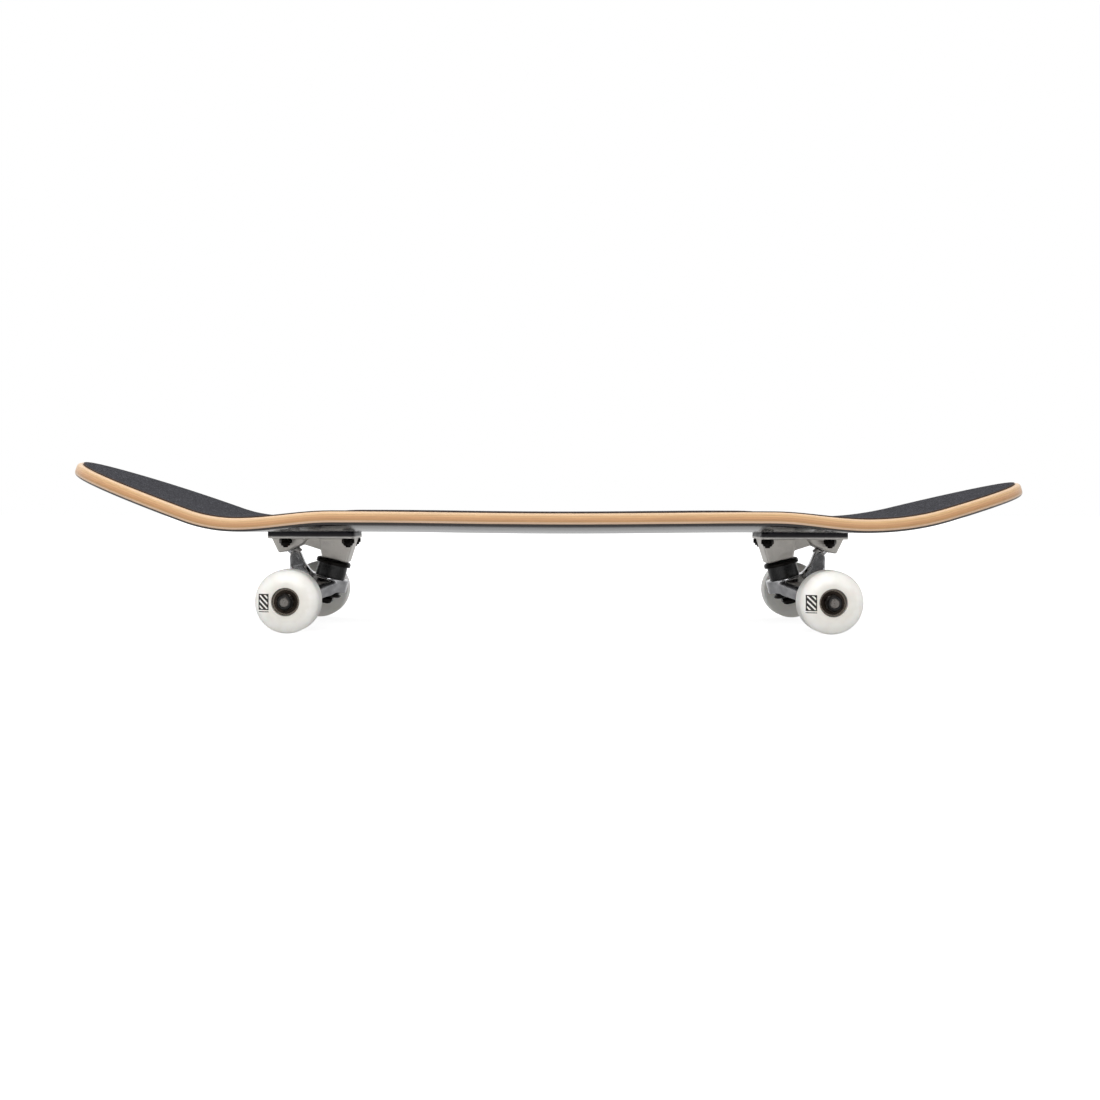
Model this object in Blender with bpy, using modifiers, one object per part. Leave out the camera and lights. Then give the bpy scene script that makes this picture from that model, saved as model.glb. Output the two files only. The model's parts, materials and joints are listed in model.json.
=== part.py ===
"""Skateboard: a pressed seven-ply deck with grip tape, on two standard-kingpin trucks and four wheels.

Frame: +X runs from the nose to the tail, +Y to the rider's right when facing the nose, +Z up. The origin is
on the ground, under the middle of the board's length and width. Metres. Run it in Blender 4.5.
"""

import math

import bmesh
import bpy
from mathutils import Matrix, Vector

MM = 0.001
GAP = 0.3 * MM  # left between faces that touch on the real board

# Deck ---------------------------------------------------------------------------------------------
WHEELBASE = 361.95 * MM  # between the inner truck bolts
NOSE_LENGTH = 184.3 * MM  # from the outer truck bolts to the tip, measured along the ground
TAIL_LENGTH = 169.6 * MM
DECK_WIDTH = 209.5 * MM
TAIL_WIDTH = 207.0 * MM  # where the tail's round end begins
DECK_THICKNESS = 10.8 * MM
NOSE_ROUND = 138.0 * MM  # length of the nose's elliptical end, along the wood
TAIL_ROUND = 180.0 * MM
TAIL_TAPER = 100.0 * MM  # length over which the deck narrows to TAIL_WIDTH
NOSE_ANGLE = math.radians(20.05)
TAIL_ANGLE = math.radians(15.53)
NOSE_BEND_RADIUS = 128.0 * MM  # on the underside
TAIL_BEND_RADIUS = 264.0 * MM
NOSE_BEND_START = 24.4 * MM  # beyond the outer bolts
TAIL_BEND_START = 12.8 * MM
CONCAVE = 7.4 * MM  # rise of the rails over the flat middle
KICK_CONCAVE = 1.3 * MM
CONCAVE_FADE = 75.0 * MM  # length over which the rails come down before each kick
ROCKER = 1.3 * MM  # sag of the middle between the trucks
ROCKER_MARGIN = 20.0 * MM  # the sag stays this far from the inner bolts
FLAT_STRIP = 60.0 * MM  # width of the flat strip down the middle
DECK_EDGE_ROUND = 3.2 * MM
GRIP_THICKNESS = 0.8 * MM
GRIP_INSET = 0.4 * MM

# Truck bolts and their nuts -----------------------------------------------------------------------
BOLT_SPACING_X = 54.0 * MM
BOLT_SPACING_Y = 41.3 * MM
BOLT_DIAMETER = 4.8 * MM
BOLT_LENGTH = 25.4 * MM
BOLT_HEAD_DIAMETER = 9.2 * MM
BOLT_HEAD_RIM = 0.4 * MM
BOLT_HEAD_SUNK = 0.2 * MM  # below the grip tape's face
BOLT_NUT_FLATS = 9.5 * MM
BOLT_NUT_HEIGHT = 6.0 * MM

# Wheels and what runs on the axle -----------------------------------------------------------------
WHEEL_DIAMETER = 52.0 * MM
WHEEL_WIDTH = 31.0 * MM
TREAD_WIDTH = 18.0 * MM
WHEEL_FACE_RADIUS = 14.5 * MM
BEARING_DIAMETER = 22.0 * MM
BEARING_WIDTH = 7.0 * MM
BEARING_SPREAD = 10.3 * MM  # between the two bearings of a wheel
BEARING_SHOULDER = 2.0 * MM  # how far the core's rib stands in behind a bearing
SHIELD_DEPTH = 0.4 * MM
RACE_OUTER_RADIUS = 9.5 * MM
AXLE_DIAMETER = 7.94 * MM
AXLE_LENGTH = 209.6 * MM
AXLE_CHAMFER = 0.8 * MM
HANGER_WIDTH = 139.5 * MM
SPEED_WASHER_DIAMETER = 12.8 * MM
SPEED_WASHER_THICKNESS = 1.0 * MM
AXLE_NUT_FLATS = 12.7 * MM
AXLE_NUT_HEIGHT = 6.5 * MM

# Baseplate, in the truck's own frame: x towards the board's middle, z up, origin between the bolts, on top ---
TRUCK_HEIGHT = 55.1 * MM  # top of the baseplate down to the axle
AXLE_SETBACK = 12.55 * MM  # the axle's distance outboard of the bolt pattern's middle
PLATE_LENGTH = 74.8 * MM
PLATE_WIDTH = 56.0 * MM
PLATE_THICKNESS = 5.7 * MM
PLATE_SHIFT = -4.5 * MM
PLATE_CORNER = 5.0 * MM
HOUSING_FACE_OUT = 9.5 * MM  # length of the kingpin housing's lower face, outboard of the kingpin
HOUSING_FACE_IN = 13.0 * MM
HOUSING_TOP_WIDTH = 28.4 * MM
HOUSING_FACE_WIDTH = 26.0 * MM
FOOT_WIDTH = 23.0 * MM
FOOT_DEPTH = 18.6 * MM  # below the baseplate's top
WEB_THICKNESS = 8.0 * MM

# Kingpin and bushings -----------------------------------------------------------------------------
KINGPIN_TILT = math.radians(14.0)
KINGPIN_TO_AXLE = 17.0 * MM  # along x, at the axle's height
SEAT_DEPTH = 24.2 * MM  # of the housing's lower face on the kingpin's axis, below the baseplate's top
KINGPIN_DIAMETER = 9.52 * MM
KINGPIN_HEAD_FLATS = 14.3 * MM
KINGPIN_HEAD_HEIGHT = 5.5 * MM
KINGPIN_HEAD_TOP = 19.0 * MM  # above the housing's lower face, along the axis
KINGPIN_TAIL = 0.5 * MM  # past the nut
KINGPIN_NUT_FLATS = 14.3 * MM
KINGPIN_NUT_HEIGHT = 6.0 * MM
BUSHING_DIAMETER = 26.0 * MM
BOARDSIDE_BUSHING_HEIGHT = 15.5 * MM
ROADSIDE_BUSHING_HEIGHT = 6.5 * MM
ROADSIDE_BUSHING_FOOT = 22.4 * MM  # its smaller diameter, at the washer
BUSHING_ROUND = 1.0 * MM
CUP_THICKNESS = 1.5 * MM
CUP_WALL = 1.8 * MM
BOARDSIDE_CUP_LIP = 2.8 * MM
ROADSIDE_CUP_LIP = 1.0 * MM

# Hanger -------------------------------------------------------------------------------------------
RING_DIAMETER = 33.5 * MM
RING_THICKNESS = 11.5 * MM
RING_HOLE_DIAMETER = 14.0 * MM
BOARDSIDE_SEAT_DEPTH = 2.5 * MM
ROADSIDE_SEAT_DEPTH = 3.0 * MM
WASHER_ROOM = 3.0 * MM  # round the roadside washer, so that it clears the wings as the truck steers
HANGER_END_DIAMETER = 17.0 * MM
HANGER_WAIST_DIAMETER = 15.0 * MM
HANGER_MIDDLE_DIAMETER = 22.0 * MM
GUSSET_REACH = 38.0 * MM  # of the wings along the axle, from the middle
GUSSET_END_RADIUS = 7.0 * MM
PIVOT_X = -27.5 * MM
PIVOT_DEPTH = 12.1 * MM
PIVOT_DIAMETER = 10.0 * MM
PIVOT_NOSE_LENGTH = 9.0 * MM  # of the straight stretch that turns in the cup
ARM_WIDTH = 10.6 * MM
YOKE_FOOT_WIDTH = 16.0 * MM
CUP_BUSH_WALL = 1.3 * MM
CUP_BUSH_FLOOR = 1.3 * MM

# Steps round a turned piece -----------------------------------------------------------------------
WHEEL_STEPS = 32
BUSHING_STEPS = 20
SMALL_STEPS = 16
BOLT_STEPS = 12

# Worked out from the above ------------------------------------------------------------------------
WHEEL_RADIUS = WHEEL_DIAMETER / 2
AXLE_RADIUS = AXLE_DIAMETER / 2
KINGPIN_RADIUS = KINGPIN_DIAMETER / 2
PLATE_TOP_Z = WHEEL_RADIUS + TRUCK_HEIGHT
DECK_BOTTOM_Z = PLATE_TOP_Z + GAP
GRIP_LEVEL = DECK_THICKNESS + GAP
GRIP_TOP_Z = DECK_BOTTOM_Z + GRIP_LEVEL + GRIP_THICKNESS
MIDDLE_X = (NOSE_LENGTH - TAIL_LENGTH) / 2
OUTER_BOLTS = WHEELBASE / 2 + BOLT_SPACING_X
TRUCK_X = (WHEELBASE + BOLT_SPACING_X) / 2  # from the board's middle to a truck's bolt pattern
NOSE_BEND_X = MIDDLE_X - OUTER_BOLTS - NOSE_BEND_START
TAIL_BEND_X = MIDDLE_X + OUTER_BOLTS + TAIL_BEND_START
PLATE_END_IN = PLATE_SHIFT + PLATE_LENGTH / 2
PLATE_END_OUT = PLATE_SHIFT - PLATE_LENGTH / 2

# Kingpin frame: origin on the housing's lower face, z up along the kingpin. Levels run downwards.
SEAT_X = -AXLE_SETBACK + KINGPIN_TO_AXLE + (TRUCK_HEIGHT - SEAT_DEPTH) * math.tan(KINGPIN_TILT)
SEAT = Vector((SEAT_X, 0, -SEAT_DEPTH))
BOARDSIDE_CUP_TOP = -GAP
BOARDSIDE_BUSHING_TOP = BOARDSIDE_CUP_TOP - CUP_THICKNESS - GAP
BOARDSIDE_BUSHING_FOOT = BOARDSIDE_BUSHING_TOP - BOARDSIDE_BUSHING_HEIGHT
RING_TOP = BOARDSIDE_BUSHING_FOOT - GAP + BOARDSIDE_SEAT_DEPTH
RING_FOOT = RING_TOP - RING_THICKNESS
ROADSIDE_BUSHING_TOP = RING_FOOT + ROADSIDE_SEAT_DEPTH - GAP
ROADSIDE_CUP_TOP = ROADSIDE_BUSHING_TOP - ROADSIDE_BUSHING_HEIGHT - GAP
KINGPIN_NUT_TOP = ROADSIDE_CUP_TOP - CUP_THICKNESS - GAP
KINGPIN_END = KINGPIN_NUT_TOP - KINGPIN_NUT_HEIGHT - KINGPIN_TAIL
KINGPIN_FRAME = Matrix.Translation(SEAT) @ Matrix.Rotation(KINGPIN_TILT, 4, "Y")
RING_MIDDLE = KINGPIN_FRAME @ Vector((0, 0, (RING_TOP + RING_FOOT) / 2))

# Pivot frame: origin at the middle of the pivot's round end, z along the pivot axis, away from the bushings.
PIVOT = Vector((PIVOT_X, 0, -PIVOT_DEPTH))
PIVOT_AXIS = (PIVOT - RING_MIDDLE).normalized()
PIVOT_FRAME = Matrix.Translation(PIVOT) @ PIVOT_AXIS.to_track_quat("Z", "Y").to_matrix().to_4x4()
CUP_BUSH_RADIUS = PIVOT_DIAMETER / 2 + GAP + CUP_BUSH_WALL
CUP_BUSH_TOP = PIVOT_DIAMETER / 2 + GAP + CUP_BUSH_FLOOR

# Stations along the axle, outwards from the middle.
INNER_BEARING_Y = HANGER_WIDTH / 2 + GAP + SPEED_WASHER_THICKNESS + GAP
OUTER_BEARING_Y = INNER_BEARING_Y + BEARING_WIDTH + BEARING_SPREAD
WHEEL_Y = (INNER_BEARING_Y + OUTER_BEARING_Y + BEARING_WIDTH) / 2
OUTER_WASHER_Y = OUTER_BEARING_Y + BEARING_WIDTH + GAP
AXLE_NUT_Y = OUTER_WASHER_Y + SPEED_WASHER_THICKNESS + GAP

scene = bpy.context.scene
for old in list(bpy.data.objects):
    bpy.data.objects.remove(old)
skateboard = bpy.data.collections.new("skateboard")
scene.collection.children.link(skateboard)


# Materials ----------------------------------------------------------------------------------------
def material(name, colour, roughness, metallic=0.0):
    made = bpy.data.materials.new(name)
    made.use_nodes = True
    shader = made.node_tree.nodes["Principled BSDF"]
    shader.inputs["Base Color"].default_value = (*colour, 1)
    shader.inputs["Roughness"].default_value = roughness
    shader.inputs["Metallic"].default_value = metallic
    made.diffuse_color = (*colour, 1)
    return made


MAPLE = material("maple", (0.78, 0.55, 0.30), 0.45)
GRIT = material("grit", (0.03, 0.03, 0.035), 0.95)
CAST_ALUMINIUM = material("cast_aluminium", (0.60, 0.60, 0.60), 0.40, 1.0)
POLISHED_ALUMINIUM = material("polished_aluminium", (0.62, 0.62, 0.64), 0.22, 1.0)
URETHANE_WHITE = material("white_urethane", (0.90, 0.89, 0.86), 0.35)
URETHANE_BLACK = material("black_urethane", (0.02, 0.02, 0.02), 0.50)
STEEL = material("steel", (0.45, 0.44, 0.42), 0.30, 1.0)
BLACK_STEEL = material("black_steel", (0.03, 0.03, 0.03), 0.40, 1.0)
CUP_NYLON = material("cup_nylon", (0.03, 0.03, 0.03), 0.60)


# Making and placing shapes ------------------------------------------------------------------------
def loose(name, mesh, frame=None):
    """An object to build with, which isn't yet part of the board."""
    made = bpy.data.objects.new(name, mesh)
    scene.collection.objects.link(made)
    made.matrix_world = frame or Matrix.Identity(4)
    return made


def mesh_of(name, bm):
    mesh = bpy.data.meshes.new(name)
    bm.to_mesh(mesh)
    bm.free()
    return mesh


def baked(obj, *helpers):
    """The object's shape with its modifiers and place applied, as a mesh. Removes it and its helpers."""
    bpy.context.view_layer.update()
    graph = bpy.context.evaluated_depsgraph_get()
    mesh = bpy.data.meshes.new_from_object(obj.evaluated_get(graph))
    mesh.transform(obj.matrix_world)
    mesh.name = obj.name
    for used in (obj, *helpers):
        bpy.data.objects.remove(used)
    return mesh


def turned(name, profile, steps, frame=None):
    """A profile of (radius, height) points turned about z. It runs down its outer side.
    A profile that starts and ends on the axis is solid, and any other is closed into a ring."""
    bm = bmesh.new()
    points = [bm.verts.new((radius, 0, height)) for radius, height in profile]
    solid = profile[0][0] == 0 and profile[-1][0] == 0
    pairs = list(zip(points, points[1:])) + ([] if solid else [(points[-1], points[0])])
    for pair in pairs:
        bm.edges.new(pair)
    made = loose(name, mesh_of(name, bm), frame)
    screw = made.modifiers.new("turn", "SCREW")
    screw.steps = screw.render_steps = steps
    screw.use_merge_vertices = True
    screw.merge_threshold = 0.01 * MM
    return made


def turned_mesh(name, profile, steps, sharp=math.radians(35)):
    mesh = baked(turned(name, profile, steps))
    mesh.shade_smooth()
    mesh.set_sharp_from_angle(angle=sharp)
    return mesh


def prism(name, flats, foot, top, sides=6, frame=None):
    """A six-sided bar, or a round one with more sides, whose flats are this far apart."""
    bm = bmesh.new()
    radius = flats / 2 / math.cos(math.pi / sides)
    bmesh.ops.create_cone(
        bm, cap_ends=True, segments=sides, radius1=radius, radius2=radius, depth=top - foot
    )
    bmesh.ops.translate(bm, verts=bm.verts, vec=(0, 0, (top + foot) / 2))
    return loose(name, mesh_of(name, bm), frame)


def rod(name, radius, foot, top, steps=SMALL_STEPS, frame=None):
    return prism(name, 2 * radius * math.cos(math.pi / steps), foot, top, steps, frame)


def extruded(name, outline, width, foot_width=None):
    """A side view of (x, z) points given a width along y. Below its top half it may draw in to foot_width."""
    curve = bpy.data.curves.new(name, "CURVE")
    curve.dimensions = "2D"
    curve.fill_mode = "BOTH"
    curve.extrude = width / 2
    spline = curve.splines.new("POLY")
    spline.use_cyclic_u = True
    spline.points.add(len(outline) - 1)
    for target, (x, z) in zip(spline.points, outline):
        target.co = (x, z, 0, 1)
    mesh = baked(loose(name, curve, Matrix.Rotation(math.pi / 2, 4, "X")))
    bm = bmesh.new()
    bm.from_mesh(mesh)
    bmesh.ops.remove_doubles(bm, verts=bm.verts, dist=0.001 * MM)
    bmesh.ops.dissolve_limit(bm, angle_limit=math.radians(0.3), verts=bm.verts, edges=bm.edges)
    if foot_width:
        heights = [z for _, z in outline]
        middle = (max(heights) + min(heights)) / 2
        for vert in bm.verts:
            if vert.co.z < middle:
                vert.co.y *= foot_width / width
    bmesh.ops.recalc_face_normals(bm, faces=bm.faces)
    return loose(name, mesh_of(name, bm))


def boolean(obj, operation, *tools):
    for tool in tools:
        modifier = obj.modifiers.new(operation.lower(), "BOOLEAN")
        modifier.operation = operation
        modifier.object = tool


def bevel(obj, width, segments=1, angle=math.radians(40)):
    modifier = obj.modifiers.new("bevel", "BEVEL")
    modifier.width = width
    modifier.segments = segments
    modifier.limit_method = "ANGLE"
    modifier.angle_limit = angle


def node(name, mesh, finish, parent=None, frame=None):
    """A named piece of the board. frame places it in its parent's frame, or in the board's."""
    if not mesh.materials:
        mesh.materials.append(finish)
    made = bpy.data.objects.new(name, mesh)
    skateboard.objects.link(made)
    made.parent = parent
    made.matrix_local = frame or Matrix.Identity(4)
    return made


def empty(name, parent=None, frame=None):
    made = bpy.data.objects.new(name, None)
    skateboard.objects.link(made)
    made.parent = parent
    made.matrix_local = frame or Matrix.Identity(4)
    return made


# Deck ---------------------------------------------------------------------------------------------
def smoothstep(share):
    share = min(1.0, max(0.0, share))
    return share * share * (3 - 2 * share)


def wood_length(beyond, radius, angle):
    """Length along the wood from the start of a bend to a tip this far beyond it along the ground."""
    return radius * angle + (beyond - radius * math.sin(angle)) / math.cos(angle)


NOSE_TIP = NOSE_BEND_X - wood_length(NOSE_LENGTH - NOSE_BEND_START, NOSE_BEND_RADIUS, NOSE_ANGLE)
TAIL_TIP = TAIL_BEND_X + wood_length(TAIL_LENGTH - TAIL_BEND_START, TAIL_BEND_RADIUS, TAIL_ANGLE)


def half_width(along):
    """Half the flat blank's width at this place along it."""
    narrowing = smoothstep((along - (TAIL_TIP - TAIL_ROUND - TAIL_TAPER)) / TAIL_TAPER)
    width = DECK_WIDTH + (TAIL_WIDTH - DECK_WIDTH) * narrowing
    for tip, length in ((NOSE_TIP, NOSE_ROUND), (TAIL_TIP, TAIL_ROUND)):
        from_tip = abs(along - tip)
        if from_tip < length:
            width *= math.sqrt(max(0.0, 1 - (1 - from_tip / length) ** 2))
    return width / 2


def pressed(along, across, height):
    """Where the press puts a point of the flat blank: height is measured up from its underside."""
    radius, angle, beyond, side = NOSE_BEND_RADIUS, NOSE_ANGLE, NOSE_BEND_X - along, -1
    start = NOSE_BEND_X
    if along > MIDDLE_X:
        radius, angle, beyond, side = TAIL_BEND_RADIUS, TAIL_ANGLE, along - TAIL_BEND_X, 1
        start = TAIL_BEND_X
    fade = smoothstep(-beyond / CONCAVE_FADE)
    rail = KICK_CONCAVE + (CONCAVE - KICK_CONCAVE) * fade
    up_rail = max(0.0, abs(across) - FLAT_STRIP / 2) / (DECK_WIDTH / 2 - FLAT_STRIP / 2)
    sag = max(0.0, 1 - ((along - MIDDLE_X) / (WHEELBASE / 2 - ROCKER_MARGIN)) ** 2)
    height += rail * up_rail**2 - ROCKER * sag**2
    if beyond <= 0:
        return Vector((along, across, DECK_BOTTOM_Z + height))
    turn = min(beyond / radius, angle)
    straight = max(0.0, beyond - radius * angle)
    out = radius * math.sin(turn) + straight * math.cos(angle)
    rise = radius * (1 - math.cos(turn)) + straight * math.sin(angle)
    return Vector(
        (
            start + side * (out - height * math.sin(turn)),
            across,
            DECK_BOTTOM_Z + rise + height * math.cos(turn),
        )
    )


def blank_outline():
    """The blank's outline, seen from above, as points round it."""
    quarter = 10  # points round a quarter of a tip
    middle = 8
    nose_in, tail_in = NOSE_TIP + NOSE_ROUND, TAIL_TIP - TAIL_ROUND
    turns = [math.pi / 2 * step / quarter for step in range(quarter)]
    along = [NOSE_TIP + NOSE_ROUND * (1 - math.cos(turn)) for turn in turns]
    along += [nose_in + (tail_in - nose_in) * step / middle for step in range(middle)]
    along += [TAIL_TIP - TAIL_ROUND * (1 - math.cos(turn)) for turn in reversed(turns)]
    edge = [Vector((place, half_width(place), 0)) for place in along]
    return edge + [Vector((point.x, -point.y, 0)) for point in reversed(edge[1:-1])]


def blank(name, inset):
    """The deck's blank, divided so that it can be pressed. Its top within the inset line has material 1."""
    curve = bpy.data.curves.new(name, "CURVE")
    curve.dimensions = "2D"
    curve.fill_mode = "BOTH"
    curve.extrude = DECK_THICKNESS / 2
    points = blank_outline()
    spline = curve.splines.new("POLY")
    spline.use_cyclic_u = True
    spline.points.add(len(points) - 1)
    for target, point in zip(spline.points, points):
        target.co = (point.x, point.y, 0, 1)
    sheet = loose(name, curve, Matrix.Translation((0, 0, DECK_THICKNESS / 2)))
    bm = bmesh.new()
    bm.from_mesh(baked(sheet))
    bmesh.ops.remove_doubles(bm, verts=bm.verts, dist=0.001 * MM)
    bmesh.ops.dissolve_limit(bm, angle_limit=math.radians(0.3), verts=bm.verts, edges=bm.edges)
    top = max(bm.faces, key=lambda face: face.calc_center_median().z)
    bmesh.ops.inset_individual(bm, faces=[top], thickness=inset, use_even_offset=True)
    for face in bm.faces:
        face.material_index = 1 if face == top else 0
    cuts = [((along, 0, 0), (1, 0, 0)) for along in press_stations()]
    rails = [FLAT_STRIP / 2 + (DECK_WIDTH - FLAT_STRIP) / 2 * share for share in (0, 0.4, 0.75)]
    cuts += [((0, side * rail, 0), (0, 1, 0)) for rail in rails for side in (-1, 1)]
    for point, normal in cuts:
        bmesh.ops.bisect_plane(
            bm, geom=bm.verts[:] + bm.edges[:] + bm.faces[:], dist=0.01 * MM, plane_co=point, plane_no=normal
        )
    bmesh.ops.triangulate(bm, faces=bm.faces)
    return mesh_of(name, bm)


def sheet_in_press(name, flat, level=0.0, thickness=0.0):
    """The blank pressed to shape. Given a thickness, only a sheet of that thickness over its marked top."""
    bm = bmesh.new()
    bm.from_mesh(flat)
    if thickness:
        rest = [face for face in bm.faces if face.material_index == 0]
        bmesh.ops.delete(bm, geom=rest, context="FACES")
        bmesh.ops.translate(bm, verts=bm.verts, vec=(0, 0, level - DECK_THICKNESS))
        grown = bmesh.ops.extrude_face_region(bm, geom=bm.faces[:], use_keep_orig=True)
        moved = [part for part in grown["geom"] if isinstance(part, bmesh.types.BMVert)]
        bmesh.ops.translate(bm, verts=moved, vec=(0, 0, thickness))
    for face in bm.faces:
        face.material_index = 0
    for vert in bm.verts:
        vert.co = pressed(*vert.co)
    bmesh.ops.recalc_face_normals(bm, faces=bm.faces)
    return mesh_of(name, bm)


def press_stations():
    """Where the blank is divided along its length: closely in the bends and the fading rails."""
    bend_steps, fade_steps, middle_steps = 6, 5, 6
    stations = []
    for start, radius, angle, side in (
        (NOSE_BEND_X, NOSE_BEND_RADIUS, NOSE_ANGLE, -1),
        (TAIL_BEND_X, TAIL_BEND_RADIUS, TAIL_ANGLE, 1),
    ):
        bend = radius * angle
        stations += [start + side * bend * step / bend_steps for step in range(bend_steps + 1)]
        stations += [start - side * CONCAVE_FADE * step / fade_steps for step in range(1, fade_steps + 1)]
    first, last = NOSE_BEND_X + CONCAVE_FADE, TAIL_BEND_X - CONCAVE_FADE
    stations += [first + (last - first) * step / middle_steps for step in range(1, middle_steps)]
    return stations


BOLT_PLACES = [
    (end, side, MIDDLE_X + end * TRUCK_X + lead * BOLT_SPACING_X / 2, side * BOLT_SPACING_Y / 2, lead)
    for end in (-1, 1)
    for lead in (-1, 1)
    for side in (-1, 1)
]
BOLT_TOP_Z = GRIP_TOP_Z - BOLT_HEAD_SUNK


def bolt_profile(gap, extra):
    """A countersunk bolt, top down from z 0. Its hole's cutter has a gap all round and runs past both ends."""
    head, shank = BOLT_HEAD_DIAMETER / 2 + gap, BOLT_DIAMETER / 2 + gap
    cone_foot = -BOLT_HEAD_RIM - (BOLT_HEAD_DIAMETER - BOLT_DIAMETER) / 2 - gap
    end = -BOLT_LENGTH - extra
    rim_foot = -BOLT_HEAD_RIM - gap
    return [(0, extra), (head, extra), (head, rim_foot), (shank, cone_foot - gap), (shank, end), (0, end)]


def bolt_holes():
    cutters = [
        turned("bolt_hole", bolt_profile(GAP, 3 * MM), BOLT_STEPS, Matrix.Translation((x, y, BOLT_TOP_Z)))
        for _, _, x, y, _ in BOLT_PLACES
    ]
    bm = bmesh.new()
    for cutter in cutters:
        bm.from_mesh(baked(cutter))
    return loose("bolt_holes", mesh_of("bolt_holes", bm))


def drilled(name, mesh, edge_round=0.0):
    sheet = loose(name, mesh)
    holes = bolt_holes()
    if edge_round:
        bevel(sheet, edge_round, angle=math.radians(60))
    boolean(sheet, "DIFFERENCE", holes)
    return baked(sheet, holes)


flat_blank = blank("blank", GRIP_INSET + DECK_EDGE_ROUND)
wood = sheet_in_press("deck", flat_blank)
grip_sheet = sheet_in_press("grip_tape", flat_blank, GRIP_LEVEL, GRIP_THICKNESS)
node("deck", drilled("deck", wood, DECK_EDGE_ROUND), MAPLE)
node("grip_tape", drilled("grip_tape", grip_sheet), GRIT)


# Baseplate ----------------------------------------------------------------------------------------
def face_point(along):
    """A point of the housing's lower face, this far inboard of the kingpin's axis, as (x, z)."""
    point = KINGPIN_FRAME @ Vector((along, 0, 0))
    return point.x, point.z


def baseplate_mesh():
    into_plate = -PLATE_THICKNESS / 2  # where the castings below start, inside the flange
    bpy.ops.mesh.primitive_cube_add(size=1)
    plate = bpy.context.object
    plate.name = "baseplate"
    plate.data.transform(Matrix.Diagonal((PLATE_LENGTH, PLATE_WIDTH, PLATE_THICKNESS, 1)))
    plate.data.transform(Matrix.Translation((PLATE_SHIFT, 0, -PLATE_THICKNESS / 2)))
    corners = bmesh.new()
    corners.from_mesh(plate.data)
    upright = [edge for edge in corners.edges if abs(edge.verts[0].co.z - edge.verts[1].co.z) > GAP]
    bmesh.ops.bevel(corners, geom=upright, offset=PLATE_CORNER, segments=4, affect="EDGES", profile=0.5)
    corners.to_mesh(plate.data)
    corners.free()

    housing_out, housing_in = face_point(-HOUSING_FACE_OUT), face_point(HOUSING_FACE_IN)
    housing = extruded(
        "housing",
        [
            (housing_out[0] - 2 * MM, into_plate),
            (PLATE_END_IN - 1.5 * MM, into_plate),
            (PLATE_END_IN - 1.5 * MM, -PLATE_THICKNESS - GAP),
            housing_in,
            housing_out,
        ],
        HOUSING_TOP_WIDTH,
        HOUSING_FACE_WIDTH,
    )
    bevel(housing, 2.5 * MM, 2)
    foot_in = PIVOT_X + 13 * MM
    foot = extruded(
        "foot",
        [
            (PIVOT_X - 13.5 * MM, into_plate),
            (foot_in + 4 * MM, into_plate),
            (foot_in + 4 * MM, -PLATE_THICKNESS - 1 * MM),
            (foot_in, -FOOT_DEPTH * 0.61),
            (PIVOT_X + 1 * MM, -FOOT_DEPTH + 1.5 * MM),
            (PIVOT_X - 7.5 * MM, -FOOT_DEPTH),
            (PIVOT_X - 13.5 * MM, -PLATE_THICKNESS),
        ],
        FOOT_WIDTH,
        FOOT_WIDTH - 2 * MM,
    )
    bevel(foot, 1.5 * MM, 1)
    web = extruded(
        "web",
        [
            (foot_in - 4 * MM, into_plate),
            (foot_in - 4 * MM, -FOOT_DEPTH * 0.64),
            (housing_out[0] + 3 * MM, housing_out[1] + 2 * MM),
            (housing_out[0] + 3 * MM, into_plate),
        ],
        WEB_THICKNESS,
    )
    boolean(plate, "UNION", housing, foot, web)
    plate_holes = [
        rod(
            "plate_hole",
            BOLT_DIAMETER / 2 + GAP,
            -2 * PLATE_THICKNESS,
            PLATE_THICKNESS,
            frame=Matrix.Translation((lead * BOLT_SPACING_X / 2, side * BOLT_SPACING_Y / 2, 0)),
        )
        for lead in (-1, 1)
        for side in (-1, 1)
    ]
    head_room = KINGPIN_HEAD_FLATS / 2 / math.cos(math.pi / 6) + 2 * GAP
    kingpin_bore = rod("kingpin_bore", KINGPIN_RADIUS + GAP, -10 * MM, 40 * MM, 20, KINGPIN_FRAME)
    head_pocket = rod(
        "head_pocket",
        head_room,
        KINGPIN_HEAD_TOP - KINGPIN_HEAD_HEIGHT - GAP,
        2 * SEAT_DEPTH,
        20,
        KINGPIN_FRAME,
    )
    socket = rod("socket", CUP_BUSH_RADIUS + GAP, -30 * MM, CUP_BUSH_TOP + GAP, 20, PIVOT_FRAME)
    cutters = [*plate_holes, kingpin_bore, head_pocket, socket]
    boolean(plate, "DIFFERENCE", *cutters)
    mesh = baked(plate, housing, foot, web, *cutters)
    mesh.shade_smooth()
    mesh.set_sharp_from_angle(angle=math.radians(30))
    return mesh


# Hanger -------------------------------------------------------------------------------------------
AXLE_FRAME = Matrix.Translation((-AXLE_SETBACK, 0, -TRUCK_HEIGHT)) @ Matrix.Rotation(-math.pi / 2, 4, "X")


def beam_profile():
    """Half of the cast beam round the axle, as (radius, distance from the middle)."""
    end = HANGER_WIDTH / 2
    return [
        (HANGER_END_DIAMETER / 2, end),
        (HANGER_END_DIAMETER / 2, end - 3.5 * MM),
        (HANGER_WAIST_DIAMETER / 2, end - 7 * MM),
        (HANGER_WAIST_DIAMETER / 2, end * 0.72),
        (HANGER_MIDDLE_DIAMETER / 2, end * 0.2),
    ]


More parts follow.
